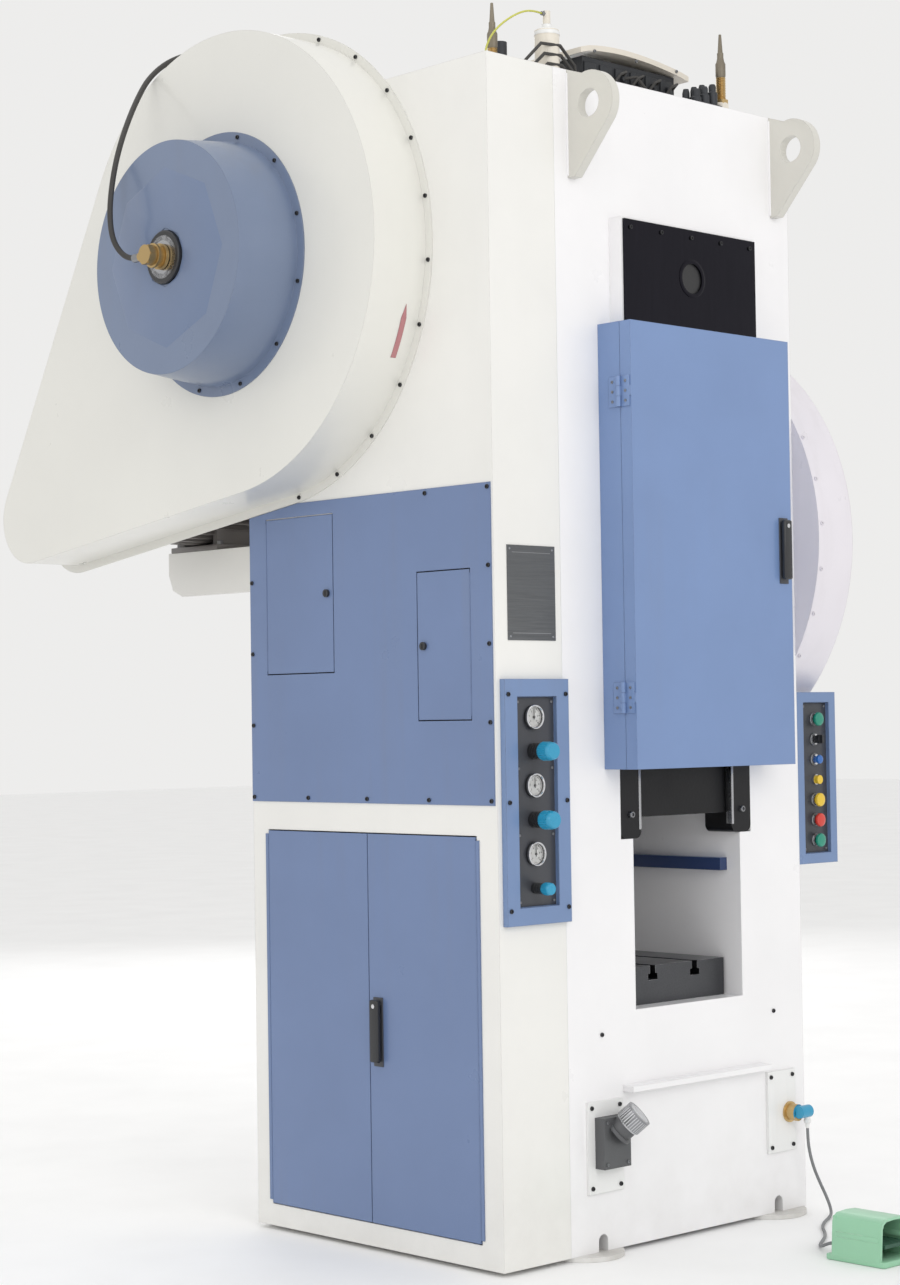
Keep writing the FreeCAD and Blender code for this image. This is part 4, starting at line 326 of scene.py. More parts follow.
NODE_FINISHES = {
    "press_frame": WHITE, "machine_pads": PAD_WHITE, "side_housing": WHITE_SIDE, "side_panel": PANEL_BLUE,
    "cabinet_door_front": PANEL_BLUE, "cabinet_door_rear": PANEL_BLUE, "hatch_front": PANEL_BLUE,
    "hatch_rear": PANEL_BLUE, "hatch_front_lock": BLACK_PLASTIC, "hatch_rear_lock": BLACK_PLASTIC,
    "cabinet_handle": BLACK_PLASTIC, "door_handle": BLACK_PLASTIC, "belt_guard": WHITE_GUARD,
    "clutch_cap": CAP_BLUE, "gear_cover": WHITE_COVER, "rotary_union": BRASS, "clutch_unit": CAST_IRON,
    "flywheel": CAST_IRON, "motor_pulley": CAST_IRON, "v_belts": RUBBER, "main_gear": CAST_IRON,
    "pinion_shaft": BRIGHT_STEEL, "bearings": BRASS, "crankshaft": BRIGHT_STEEL, "connecting_rod": CAST_IRON,
    "slide": SLIDE_BLACK, "gibs": GIB_BLACK, "bolster": BOLSTER_STEEL, "side_rails": RAIL_BLUE,
    "motor": MOTOR_PAINT, "motor_bracket": WHITE_SIDE, "door_surround": DOOR_BLUE, "guard_door": DOOR_BLUE,
    "crown_plate": DARK_PLATE, "nameplate": NAME_METAL, "front_ports": GREY_PLATE, "air_panel": TRAY_BLUE,
    "gauges_regulators": BLACK_PLASTIC, "gauge_needle_1": DIAL_BLACK, "gauge_needle_2": DIAL_BLACK,
    "gauge_needle_3": DIAL_BLACK, "regulator_knob_1": KNOB_BLUE, "regulator_knob_2": KNOB_BLUE,
    "regulator_knob_3": KNOB_BLUE, "button_station": TRAY_BLUE, "start_button": BUTTON_GREEN,
    "selector_knob": BLACK_PLASTIC, "jog_button": BUTTON_BLUE, "run_button": BUTTON_YELLOW,
    "stop_button": BUTTON_RED, "up_button": BUTTON_GREEN, "crown_spindles": SPINDLE_GREY,
    "crown_valves": VALVE_DARK, "crown_lid": CREAM, "clutch_hose": HOSE, "air_tube": TUBE_YELLOW,
    "foot_cable": CABLE_GREY, "foot_switch": SWITCH_GREEN, "foot_treadle": TREADLE,
    "cover_screws": SCREW_STEEL,
}
CREASE_ANGLE = math.radians(32)


def dress_nodes():
    """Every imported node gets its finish, and smooth shading broken at its real edges."""
    for name, item in nodes.items():
        item.data.materials.clear()
        item.data.materials.append(NODE_FINISHES[name])
        for face in item.data.polygons:
            face.use_smooth = True
            face.material_index = 0
        item.modifiers.new("join", "WELD").merge_threshold = 0.00001
        item.modifiers.new("crease", "EDGE_SPLIT").split_angle = CREASE_ANGLE


# --- Hoses and cable --------------------------------------------------------------------------

CLUTCH_HOSE = [(-1180, 334.2, 2738.15), (-1180, 372, 2738.15), (-1184, 416, 2757), (-1190, 452, 2806),
               (-1189, 464, 2882), (-1175, 470, 2965), (-1145, 486, 3050), (-1090, 520, 3145),
               (-1018, 562, 3245), (-950, 590, 3330), (-868, 592, 3395), (-785, 560, 3425),
               (-715, 502, 3400), (-672, 440, 3340), (-655, 388, 3265), (-655, 388, 3200.2)]
AIR_TUBE = [(-392.2, -252, 3285), (-412, -258, 3303), (-418, -268, 3338), (-397, -282, 3384),
            (-350, -294, 3424), (-302, -301, 3450), (-258, -302, 3459), (-226.3, -300, 3458)]
FOOT_CABLE = [(438, -656, 264.8), (438, -656, 225), (444, -657, 180), (458, -661, 132), (474, -668, 92),
              (486, -680, 54), (484, -697, 24), (464, -717, 8), (428, -737, 4.7), (370, -765, 4.7),
              (305, -808, 4.7), (250, -862, 4.7), (200, -900, 4.7), (150, -928, 4.7), (103, -958, 5),
              (80, -986, 12), (69, -1014, 24), (66, -1038, 30), (66, -1059.8, 30)]


def cord(name, node, route, diameter):
    """A hose or cable of one smooth curve along its route, whose points are in millimetres."""
    curve = bpy.data.curves.new(name, "CURVE")
    curve.dimensions = "3D"
    spline = curve.splines.new("NURBS")
    spline.points.add(len(route) - 1)
    for point, place in zip(spline.points, route):
        point.co = (*(part / 1000 for part in place), 1)
    spline.order_u = 3
    spline.use_endpoint_u = True
    curve.bevel_depth = diameter / 2
    curve.bevel_resolution = 5
    curve.resolution_u = 16
    curve.use_fill_caps = True
    curve.materials.append(NODE_FINISHES[node])
    piece = bpy.data.objects.new(name, curve)
    scene.collection.objects.link(piece)
    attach(piece, "root")
    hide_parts(node)
    return piece


# --- Pieces too fine for the construction model ----------------------------------------------

MM = 0.001
LEFT, RIGHT, FRONT, BACK = Vector((-1, 0, 0)), Vector((1, 0, 0)), Vector((0, -1, 0)), Vector((0, 1, 0))
UP = Vector((0, 0, 1))
TRAY_DEPTH = 12 * MM
PLATE_THICK = 0.0015
HINGE_HEIGHTS = (2.326, 1.498)
FRONT_FACE = -0.600


class Piece:
    """Builds one mesh piece from turned, bevelled and swept forms, then hands it to the frame."""

    def __init__(self):
        self.form = bmesh.new()

    def turn(self, outline, centre, axis=UP, sides=32, flutes=0, depth=0.0):
        """A turned form: outline is (radius, height along the axis) in mm; flutes groove its rim."""
        spin = Vector(axis).to_track_quat("Z", "Y")
        rings = []
        for radius, height in outline:
            ring = []
            count = 1 if radius == 0 else sides
            for step in range(count):
                angle = 2 * math.pi * step / sides
                reach = radius * (1 - depth * (0.5 + 0.5 * math.cos(flutes * angle))) if flutes else radius
                spot = Vector((reach * math.cos(angle), reach * math.sin(angle), height)) * MM
                ring.append(self.form.verts.new(spin @ spot + Vector(centre)))
            rings.append(ring)
        for first, second in zip(rings, rings[1:]):
            for step in range(sides):
                after = (step + 1) % sides
                if len(first) == 1 and len(second) == 1:
                    continue
                if len(first) == 1:
                    corners = [first[0], second[after], second[step]]
                elif len(second) == 1:
                    corners = [first[step], first[after], second[0]]
                else:
                    corners = [first[step], first[after], second[after], second[step]]
                self.form.faces.new(corners)
        return self

    def slab(self, low, high, bevel=1.0, segments=2):
        """A box with rounded edges; bevel is in mm."""
        middle = (Vector(low) + Vector(high)) / 2
        spans = Vector(high) - Vector(low)
        grown = bmesh.ops.create_cube(self.form, size=1)["verts"]
        for vert in grown:
            vert.co = Vector(part * span for part, span in zip(vert.co, spans)) + middle
        if bevel:
            edges = list({edge for vert in grown for edge in vert.link_edges})
            bmesh.ops.bevel(self.form, geom=edges, offset=min(bevel * MM, min(spans) * 0.45),
                            segments=segments, affect="EDGES", profile=0.5)
        return self

    def extrude(self, outline, along, hole=None):
        """A flat outline of points carried along a vector; hole is an inner outline of as many points."""
        loops = [outline] + ([hole] if hole else [])
        rims = []
        for loop in loops:
            near = [self.form.verts.new(Vector(point)) for point in loop]
            far = [self.form.verts.new(Vector(point) + Vector(along)) for point in loop]
            rims.append((near, far))
            for step in range(len(loop)):
                after = (step + 1) % len(loop)
                self.form.faces.new([near[step], near[after], far[after], far[step]])
        for end in (0, 1):
            if hole:
                outer, inner = rims[0][end], rims[1][end]
                for step in range(len(outer)):
                    after = (step + 1) % len(outer)
                    self.form.faces.new([outer[step], outer[after], inner[after], inner[step]])
            else:
                self.form.faces.new(rims[0][end])
        return self

    def sweep(self, points, radius, sides=12):
        """A thin bent pipe through points in metres; radius in mm."""
        spots = [Vector(point) for point in points]
        rings = []
        side = None
        for index, spot in enumerate(spots):
            ahead = spots[min(index + 1, len(spots) - 1)] - spots[max(index - 1, 0)]
            ahead.normalize()
            if side is None:
                side = ahead.orthogonal().normalized()
            side = (side - ahead * side.dot(ahead)).normalized()
            other = ahead.cross(side)
            rings.append([self.form.verts.new(spot + (side * math.cos(2 * math.pi * step / sides)
                                                      + other * math.sin(2 * math.pi * step / sides))
                                              * radius * MM) for step in range(sides)])
        for first, second in zip(rings, rings[1:]):
            for step in range(sides):
                after = (step + 1) % sides
                self.form.faces.new([first[step], first[after], second[after], second[step]])
        self.form.faces.new(rings[0])
        self.form.faces.new(rings[-1])
        return self

    def socket_screw(self, place, axis, radius=6.0, height=5.0):
        """A cap screw's head with its hexagon socket, seated at place and standing along axis."""
        self.turn([(0, 0), (radius, 0), (radius, height * 0.8), (radius * 0.88, height),
                   (radius * 0.56, height)], place, axis, 18)
        return self.turn([(radius * 0.56, height), (radius * 0.5, height * 0.5), (0, height * 0.45)], place,
                         axis, 6)

    def place(self, name, material, body="root", stands_for=(), slot=None):
        bmesh.ops.remove_doubles(self.form, verts=self.form.verts, dist=0.000001)
        bmesh.ops.recalc_face_normals(self.form, faces=self.form.faces)
        shape = bpy.data.meshes.new(name)
        self.form.to_mesh(shape)
        self.form.free()
        for face in shape.polygons:
            face.use_smooth = True
        shape.set_sharp_from_angle(angle=CREASE_ANGLE)
        shape.materials.append(material)
        piece = bpy.data.objects.new(name, shape)
        scene.collection.objects.link(piece)
        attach(piece, body)
        if stands_for:
            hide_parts(*stands_for)
        return piece


def recolour(node, material, test):
    """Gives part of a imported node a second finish, where test(face centre) says so."""
    mesh = nodes[node].data
    mesh.materials.append(material)
    index = len(mesh.materials) - 1
    for face in mesh.polygons:
        if test(face.center):
            face.material_index = index


def pivot(joint):
    return Vector(next(item["pos_m"] for item in frame["joints"] if item["name"] == joint))


def two_tone_nodes():
    """Second finishes inside nodes that hold several separate pieces."""
    recolour("press_frame", LUG_GREY,
             lambda at: abs(abs(at.x) - 0.428) < 0.0145 and abs(at.y) > 0.6005 and at.z > 2.9)
    plate_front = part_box("nameplate")[0].y - 0.012
    recolour("front_ports", CAST_GREY, lambda at: at.x < 0 and at.y < plate_front)
    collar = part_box("front_ports")[0].x + 0.075
    recolour("front_ports", SCREW_STEEL, lambda at: collar < at.x < 0 and at.y < -0.66 and at.z > 0.335)
    recolour("front_ports", BRASS, lambda at: at.x > 0 and at.y < plate_front)
    recolour("front_ports", KNOB_BLUE, lambda at: at.x > 0 and at.y < -0.6385 and at.z > 0.281)
    recolour("front_ports", GREY_PLATE, lambda at: at.x > 0 and at.y < -0.6465 and at.z < 0.281)
    recolour("button_station", CHROME, lambda at: at.y < -0.5885 and 0.567 < at.x < 0.603)
    lamp = (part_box("jog_button")[0].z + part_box("run_button")[1].z) / 2
    recolour("button_station", BUTTON_YELLOW,
             lambda at: at.y < -0.598 and abs(at.z - lamp) < 0.02 and 0.567 < at.x < 0.603)
    recolour("side_housing", PANEL_BLUE, lambda at: at.x < -0.7452)
    recolour("crown_valves", CREAM, lambda at: -0.245 < at.x < -0.165 and at.y < -0.255)
    recolour("crown_valves", SCREW_STEEL, lambda at: at.x < -0.2155 and at.y < -0.29 and at.z > 3.45)


def gauge(number):
    """Dial, ticks, numbers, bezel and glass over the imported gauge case."""
    centre = pivot(f"gauge_needle_{number}_swing")
    floor = Vector((centre.x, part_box(f"gauge_needle_{number}")[1].y + 0.0017, centre.z))
    Piece().turn([(0, 0), (27.8, 0), (27.8, 0.6), (0, 0.6)], floor, FRONT, 48).place(
        f"gauge_dial_{number}", DIAL_WHITE)
    marks = Piece()
    for step in range(51):
        angle = math.radians(-135 + 270 * step / 50)
        long = step % 10 == 0
        inner, outer = (19.5 if long else 22.5) * MM, 25.5 * MM
        width = (0.7 if long else 0.3) * MM
        out = Vector((math.sin(angle), 0, math.cos(angle)))
        side = Vector((math.cos(angle), 0, -math.sin(angle))) * width
        face = floor + FRONT * 0.0006
        marks.extrude([face + out * inner - side, face + out * inner + side, face + out * outer + side,
                       face + out * outer - side], FRONT * 0.0002)
    marks.place(f"gauge_ticks_{number}", DIAL_BLACK)
    for step in range(6):
        angle = math.radians(-135 + 54 * step)
        words = bpy.data.curves.new(f"gauge_number_{number}_{step}", "FONT")
        words.body = str(step * 2)
        words.size = 0.0065
        words.align_x = "CENTER"
        words.align_y = "CENTER"
        words.extrude = 0.0001
        words.materials.append(DIAL_BLACK)
        text = bpy.data.objects.new(words.name, words)
        scene.collection.objects.link(text)
        reach = 15.5 * MM
        text.location = floor + FRONT * 0.0008 + Vector((math.sin(angle) * reach, 0, math.cos(angle) * reach))
        text.rotation_euler = (math.pi / 2, 0, 0)
        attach(text, "root")
    rim = floor + FRONT * 0.0084
    Piece().turn([(27.6, -2), (27.6, 0.6), (28.8, 1.8), (31.2, 1.8), (32.2, 0.4), (32.2, -5), (31, -5)], rim,
                 FRONT, 56).place(f"gauge_bezel_{number}", CHROME)
    Piece().turn([(0, 0.4), (27.9, 0.1), (27.9, -0.7), (0, -0.5)], rim, FRONT, 48).place(
        f"gauge_glass_{number}", GLASS)


def regulator(number):
    """Fluted knob with its end cap, and the ribbed collar behind it."""
    node = f"regulator_knob_{number}"
    low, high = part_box(node)
    centre = Vector(((low.x + high.x) / 2, high.y, (low.z + high.z) / 2))
    radius = (high.x - low.x) / 2 / MM
    length = (high.y - low.y) / MM
    shoulder = length * 0.72
    knob = Piece()
    knob.turn([(0, 0), (radius * 0.86, 0), (radius * 0.9, 3), (radius, 6), (radius, shoulder)],
              centre, FRONT, 96, 24, 0.07)
    knob.turn([(radius * 0.96, shoulder), (radius * 0.93, length * 0.9), (radius * 0.8, length), (0, length)],
              centre, FRONT, 48)
    knob.place(node + "_grip", KNOB_BLUE, node, [node])
    for step in range(3):
        back = centre + BACK * (0.008 + 0.009 * step)
        Piece().turn([(radius * 0.8, -3), (radius * 0.88, -2.4), (radius * 0.88, 2.4), (radius * 0.8, 3)],
                     back, FRONT, 40).place(f"regulator_rib_{number}_{step}", BLACK_PLASTIC)


def face_plate(name, low, high, rim, floor):
    """A dark plate on a tray's floor, a little inside its rim."""
    inset = rim + 0.002
    plate = Piece().slab((low.x + inset, floor - PLATE_THICK, low.z + inset),
                         (high.x - inset, floor, high.z - inset), 0.5)
    plate.place(name, PLATE_BLACK)


def instrument_plates():
    """Dark plates in the floors of the air tray and the button tray, with their screws."""
    low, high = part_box("air_panel")
    rim = 46 * MM
    floor = low.y + TRAY_DEPTH
    face_plate("air_face_plate", low, high, rim, floor)
    screws = Piece()
    for x in (low.x + rim + 0.011, high.x - rim - 0.011):
        for step in range(4):
            z = low.z + rim + 0.014 + (high.z - low.z - 2 * rim - 0.028) * step / 3
            screws.socket_screw((x, floor - PLATE_THICK, z), FRONT, 3.5, 2.5)
    low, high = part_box("button_station")
    rim = 30 * MM
    floor = high.y - 64 * MM + TRAY_DEPTH
    face_plate("button_face_plate", low, high, rim, floor)
    for x in (low.x + rim + 0.012, high.x - rim - 0.012):
        for z in (low.z + rim + 0.012, high.z - rim - 0.012):
            screws.socket_screw((x, floor - PLATE_THICK, z), FRONT, 3.5, 2.5)
    screws.place("plate_screws", SCREW_STEEL)


BUTTON_LOOKS = {"start_button": BUTTON_GREEN, "jog_button": BUTTON_BLUE, "run_button": BUTTON_YELLOW,
                "stop_button": BUTTON_RED, "up_button": BUTTON_GREEN}


def buttons():
    """Mushroom heads on their stems, and a bezel ring round each."""
    for node, material in BUTTON_LOOKS.items():
        low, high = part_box(node)
        centre = Vector(((low.x + high.x) / 2, high.y, (low.z + high.z) / 2))
        head = (high.x - low.x) / 2 / MM
        length = (high.y - low.y) / MM
        face = length - 13
        outline = [(0, 0), (9, 0), (9, face - 1), (head * 0.86, face), (head, face + 2.5), (head, face + 6),
                   (head * 0.94, face + 9.5), (head * 0.75, face + 11.8), (head * 0.4, length - 0.3),
                   (0, length)]
        Piece().turn(outline, centre, FRONT, 40).place(node + "_head", material, node, [node])
    rings = Piece()
    for node in [*BUTTON_LOOKS, "selector_knob"]:
        low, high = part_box(node)
        seat = Vector(((low.x + high.x) / 2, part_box("button_station")[1].y - 0.0535, (low.z + high.z) / 2))
        rings.turn([(16, 0), (19, 0), (19, 3), (17.5, 5), (16, 5), (16, 0)], seat, FRONT, 32)
    rings.place("button_rings", SCREW_STEEL)


def swing_lever(node, body, outward, holder):
    """A moulded lever on its round boss, and the escutcheon it lies on."""
    low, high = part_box(node)
    thick = (high - low).dot(Vector(abs(part) for part in outward))
    across = Vector((abs(outward.y), abs(outward.x), 0))
    centre = (low + high) / 2
    base = centre - outward * (thick / 2)
    half = across * 0.017
    stem_z = high.z - 0.017
    lever = Piece().turn([(0, 0), (15, 0), (15, 6.5), (13, 7)], Vector((base.x, base.y, stem_z)), outward, 32)
    start = base + outward * 0.0062
    stop = base + outward * thick
    near, far = start - half, stop + half
    lever.slab((min(near.x, far.x), min(near.y, far.y), low.z),
               (max(near.x, far.x), max(near.y, far.y), high.z), 6, 4)
    lever.place(node + "_lever", BLACK_PLASTIC, body, [node])
    lock = Piece().turn([(0, 0), (6, 0), (6, 0.8), (4.6, 1.2), (0, 1.2)],
                        Vector((stop.x, stop.y, stem_z)) - outward * 0.0008, outward, 24)
    lock.place(node + "_lock", CHROME, body)
    plate_low = base - half * 1.12
    plate_high = base + half * 1.12 + outward * 0.003
    Piece().slab([min(plate_low.x, plate_high.x), min(plate_low.y, plate_high.y), low.z - 0.012],
                 [max(plate_low.x, plate_high.x), max(plate_low.y, plate_high.y), high.z + 0.006], 1.4,
                 3).place(node + "_plate", PLATE_BLACK, holder)


def guard_door_hinges():
    """Screws in both leaves of the two front hinges, and the leaves that swing with the door."""
    half_tall = 42 * MM
    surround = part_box("door_surround")
    swing = pivot("guard_door_swing")
    moving, fixed = Piece(), Piece()
    for height in HINGE_HEIGHTS:
        for step in (-1, 0, 1):
            z = height + step * half_tall * 0.64
            fixed.socket_screw((surround[0].x + 0.0115, swing.y + 0.026, z), LEFT, 4, 2)
            moving.socket_screw((surround[0].x + 0.0115, swing.y - 0.022, z), LEFT, 4, 2)
    fixed.place("hinge_screws_fixed", SCREW_STEEL)
    moving.place("hinge_screws_moving", SCREW_STEEL, "guard_door")
    leaves = Piece()
    for height in HINGE_HEIGHTS:
        leaves.slab((surround[0].x + 0.0113, swing.y - 0.036, height - half_tall),
                    (surround[0].x + 0.0145, swing.y - 0.004, height + half_tall), 0.6)
    leaves.place("hinge_leaves", DOOR_BLUE, "guard_door")


def clutch_cap_trim():
    """Pressed octagon on the drum's face, the dark collar and the union's hex and ferrule."""
    face_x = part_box("clutch_cap")[0].x
    hub = pivot("flywheel_spin")
    hub.x = face_x
    Piece().turn([(82, 0), (82, 1.6), (86, 2.2), (246, 2.2), (252, 0)], hub, LEFT, 8).place(
        "cap_octagon", CAP_FACE_BLUE)
    Piece().turn([(44, 0), (74, 0), (74, 9), (70, 12), (46, 12), (44, 9)], hub, LEFT, 48).place(
        "cap_seal_ring", BLACK_PLASTIC)
    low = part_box("rotary_union")[0]
    nose = Vector((low.x, hub.y, hub.z))
    Piece().turn([(20, 2), (30, 3), (30, 17), (20, 18)], nose, RIGHT, 6).place("union_hex", BRASS)
    Piece().turn([(28, 26), (34, 27), (34, 34), (28, 35)], nose, RIGHT, 40).place("union_band", BRASS)
    tail = Vector((low.x + 0.018, hub.y, hub.z))
    Piece().turn([(13, 20), (16.5, 20.5), (16.5, 31), (13, 31.5)], tail, BACK, 6).place("hose_nut", BRASS)
    Piece().turn([(9, 41), (12.2, 41.5), (12.2, 48), (11, 49), (12.2, 50), (12.2, 58), (11, 59), (12.2, 60),
                  (12.2, 68), (8.4, 70)], tail, BACK, 28).place("hose_ferrule", SCREW_STEEL)
    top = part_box("clutch_hose")
    foot = Vector((top[1].x - 0.008, 0.388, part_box("side_housing")[1].z))
    stem = [(0, 0), (21, 0), (21, 9), (15, 9.5), (15, 20), (12, 21), (12, 44), (8.3, 46)]
    Piece().turn(stem, foot, UP, 6).place("hose_foot", SCREW_STEEL)


def cover_screw_sockets():
    """A domed cap with a hexagon socket on every packed cover screw."""
    shape = bmesh.new()
    shape.from_mesh(nodes["cover_screws"].data)
    bmesh.ops.remove_doubles(shape, verts=shape.verts, dist=0.00001)
    waiting = set(shape.verts)
    screws = Piece()
    while waiting:
        stack = [min(waiting, key=lambda vert: vert.index)]
        group = set(stack)
        while stack:
            for edge in stack.pop().link_edges:
                for vert in edge.verts:
                    if vert not in group:
                        group.add(vert)
                        stack.append(vert)
        waiting -= group
        low = Vector(min(vert.co[axis] for vert in group) for axis in range(3))
        high = Vector(max(vert.co[axis] for vert in group) for axis in range(3))
        spans = high - low
        centre = (low + high) / 2
        if spans.x < spans.y * 0.8:
            screws.socket_screw((high.x, centre.y, centre.z), LEFT, 6, 4.4)
        else:
            screws.socket_screw((centre.x, high.y, centre.z), FRONT, 6, 4.4)
    shape.free()
    screws.place("cover_screw_heads", BLACK_SCREW, "root", ["cover_screws"])


def crown_items():
    """Spindles, the curved lid, coils and pipes of the valve group on the crown."""
    low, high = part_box("crown_spindles")
    top = low.z
    spots = [(low.x + 0.034, high.y - 0.034), (high.x - 0.034, low.y + 0.034)]
    bases, threads, cones = Piece(), Piece(), Piece()
    tall = (high.z - low.z) / MM
    for x, y in spots:
        at = Vector((x, y, top))
        bases.turn([(0, 0), (34, 0), (34, 22), (30, 26), (24, 27), (22, 60), (19, 64), (0, 64)], at, UP, 32)
        outline = [(15, 60)]
        for step in range(16):
            outline += [(15, 64 + 5 * step), (12.6, 66.5 + 5 * step)]
        threads.turn([(21, 60), (21, 74), (15, 75)], at, UP, 6).turn(outline + [(12, 146)], at, UP, 28)
        cones.turn([(13, 140), (15, 146), (15, 182), (12, 188), (9.5, 200), (9.5, 214), (7.5, 217),
                    (4, tall - 2), (0, tall)], at, UP, 28)
    bases.place("spindle_bases", CREAM, "root", ["crown_spindles"])
    threads.place("spindle_threads", BRASS)
    cones.place("spindle_tips", SPINDLE_GREY)
    low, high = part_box("crown_lid")
    steps = 14
    outline = []
    for step in range(steps + 1):
        share = step / steps
        crown = 0.030 * math.sin(math.pi * share) ** 0.7
        outline.append(Vector((low.x + (high.x - low.x) * share, low.y,
                               high.z - 0.030 - 0.010 * share + crown * (1 - 0.35 * share))))
    under = [point - UP * 0.016 for point in reversed(outline)]
    shell = Piece().extrude(outline + under, BACK * (high.y - low.y))
    shell.place("crown_lid_shell", CREAM, "root", ["crown_lid"])
    bolts = Piece()
    for share in (0.12, 0.5, 0.88):
        bolts.socket_screw((low.x + (high.x - low.x) * share, low.y, high.z - 0.034), FRONT, 5, 4)
    bolts.place("lid_screws", SCREW_STEEL)
    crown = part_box("press_frame")[1].z
    pile = Piece()
    for column in range(3):
        for row in range(2):
            at = Vector((0.245 + 0.036 * column, -0.470 + 0.040 * row, crown))
            shoulder = 58 + 12 * column
            pile.turn([(0, 0), (15, 0), (15, shoulder), (11, shoulder + 4), (11, shoulder + 20),
                       (8, shoulder + 26 + 6 * row), (0, shoulder + 26 + 6 * row)], at, UP, 20)
    pile.slab((0.225, -0.490, crown), (0.340, -0.410, crown + 0.045), 3)
    pile.place("valve_coils", VALVE_DARK)
    hoses = Piece()
    for step in range(3):
        start, reach, rise = -0.330 + 0.022 * step, 0.235 - 0.03 * step, 0.165 - 0.028 * step
        hoses.sweep([(start, -0.325, crown), (start + 0.004, -0.330, crown + 0.6 * rise),
                     (start + 0.28 * reach, -0.334, crown + 0.96 * rise),
                     (start + 0.62 * reach, -0.332, crown + rise),
                     (start + 0.9 * reach, -0.325, crown + 0.72 * rise),
                     (start + reach, -0.318, crown + 0.03)], 5)
    hoses.place("crown_hoses", HOSE)
    ribs = Piece()
    station_face = -0.306
    station_pitch = 0.066
    for step in range(6):
        x = -0.055 + station_pitch * step
        ribs.slab((x, station_face, crown + 0.03), (x + 0.05, station_face + 0.010, crown + 0.15), 4)
        ribs.turn([(0, 0), (9, 0), (9, 12), (6, 14), (0, 14)], (x + 0.025, station_face, crown + 0.12),
                  FRONT, 16)
    ribs.place("valve_stations", VALVE_DARK)
    pipes = Piece()
    for step in range(4):
        x = 0.02 + 0.075 * step
        pipes.sweep([(x, -0.31, crown + 0.07), (x + 0.01, -0.335, crown + 0.085),
                     (x + 0.035, -0.345, crown + 0.12), (x + 0.07, -0.335, crown + 0.135),
                     (x + 0.085, -0.305, crown + 0.128)], 4)
    pipes.sweep([(0.10, -0.315, crown + 0.12), (0.13, -0.34, crown + 0.125), (0.2, -0.35, crown + 0.06),
                 (0.27, -0.345, crown + 0.03), (0.33, -0.31, crown + 0.02)], 5)
    pipes.place("valve_pipes", HOSE)
    bottle = Piece()
    spot = Vector((-0.205, -0.300, crown))
    bottle.turn([(37, 196), (37, 206), (30, 214), (16, 218), (16, 228), (12, 229)], spot, UP, 28)
    bottle.place("bottle_cap", GREY_PLATE)


def motor_shell():
    """Finned motor body with end bells, fan cowl, feet and terminal box."""
    low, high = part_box("motor")
    axis = pivot("motor_pulley_spin")
    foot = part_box("motor_bracket")[1].z
    left, right = low.x + 0.0017, high.x
    fins = []
    count = 36
    for step in range(count * 4):
        angle = 2 * math.pi * step / (count * 4)
        reach = 0.132 if step % 4 in (0, 1) else 0.116
        out = Vector((0, math.cos(angle), math.sin(angle))) * reach
        fins.append(Vector((left + 0.045, axis.y, axis.z)) + out)
    shell = Piece().extrude(fins, RIGHT * (right - left - 0.16))
    end = Vector((left, axis.y, axis.z))
    span = (right - left) / MM
    bell = [(0, 0), (60, 0), (66, 10), (112, 14), (128, 20), (131, 26), (131, 46), (0, 46)]
    shell.turn(bell, end, RIGHT, 48)
    shell.slab((left + 0.13, axis.y - 0.118, foot), (left + 0.43, axis.y + 0.118, foot + 0.018), 3)
    for side in (-1, 1):
        y = axis.y + side * 0.085
        shell.slab((left + 0.15, y - 0.012, foot + 0.01), (left + 0.41, y + 0.012, axis.z - 0.07), 2)
    shell.place("motor_body_shell", MOTOR_PAINT, "root", ["motor"])
    cowl = Piece().turn([(116, span - 116), (132, span - 114), (132, span - 12), (124, span - 2), (96, span),
                         (0, span)], end, RIGHT, 48)
    cowl.place("motor_fan_cowl", MOTOR_PAINT)
    grille = Piece()
    for step in range(5):
        radius = 24 + 17 * step
        outer = radius + 9
        grille.turn([(radius, span + 0.2), (outer, span + 0.2), (outer, span - 1), (radius, span - 1)],
                    end, RIGHT, 48)
    grille.place("motor_fan_grille", DIAL_BLACK)
    box_low = Vector((left + 0.16, axis.y - 0.06, axis.z + 0.1))
    terminals = Piece().slab(box_low, (box_low.x + 0.13, axis.y + 0.06, high.z), 5, 3)
    terminals.slab((box_low.x - 0.004, axis.y - 0.064, high.z - 0.022),
                   (box_low.x + 0.134, axis.y + 0.064, high.z - 0.016), 1)
    terminals.place("motor_terminal_box", MOTOR_PAINT)
    bolts = Piece()
    for x in (left + 0.155, left + 0.405):
        for side in (-1, 1):
            bolts.turn([(0, 0), (13, 0), (13, 2), (10, 2), (10, 10), (8, 12), (0, 12)],
                       (x, axis.y + side * 0.103, foot + 0.018), UP, 6)
    low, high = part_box("motor_bracket")
    for x in (low.x + 0.06, high.x - 0.06):
        for z in (1.9, 1.95):
            bolts.turn([(0, 0), (13, 0), (13, 8), (11, 9), (0, 9)], (x, high.y, z), BACK, 6)
    bolts.place("motor_bolts", SCREW_STEEL)


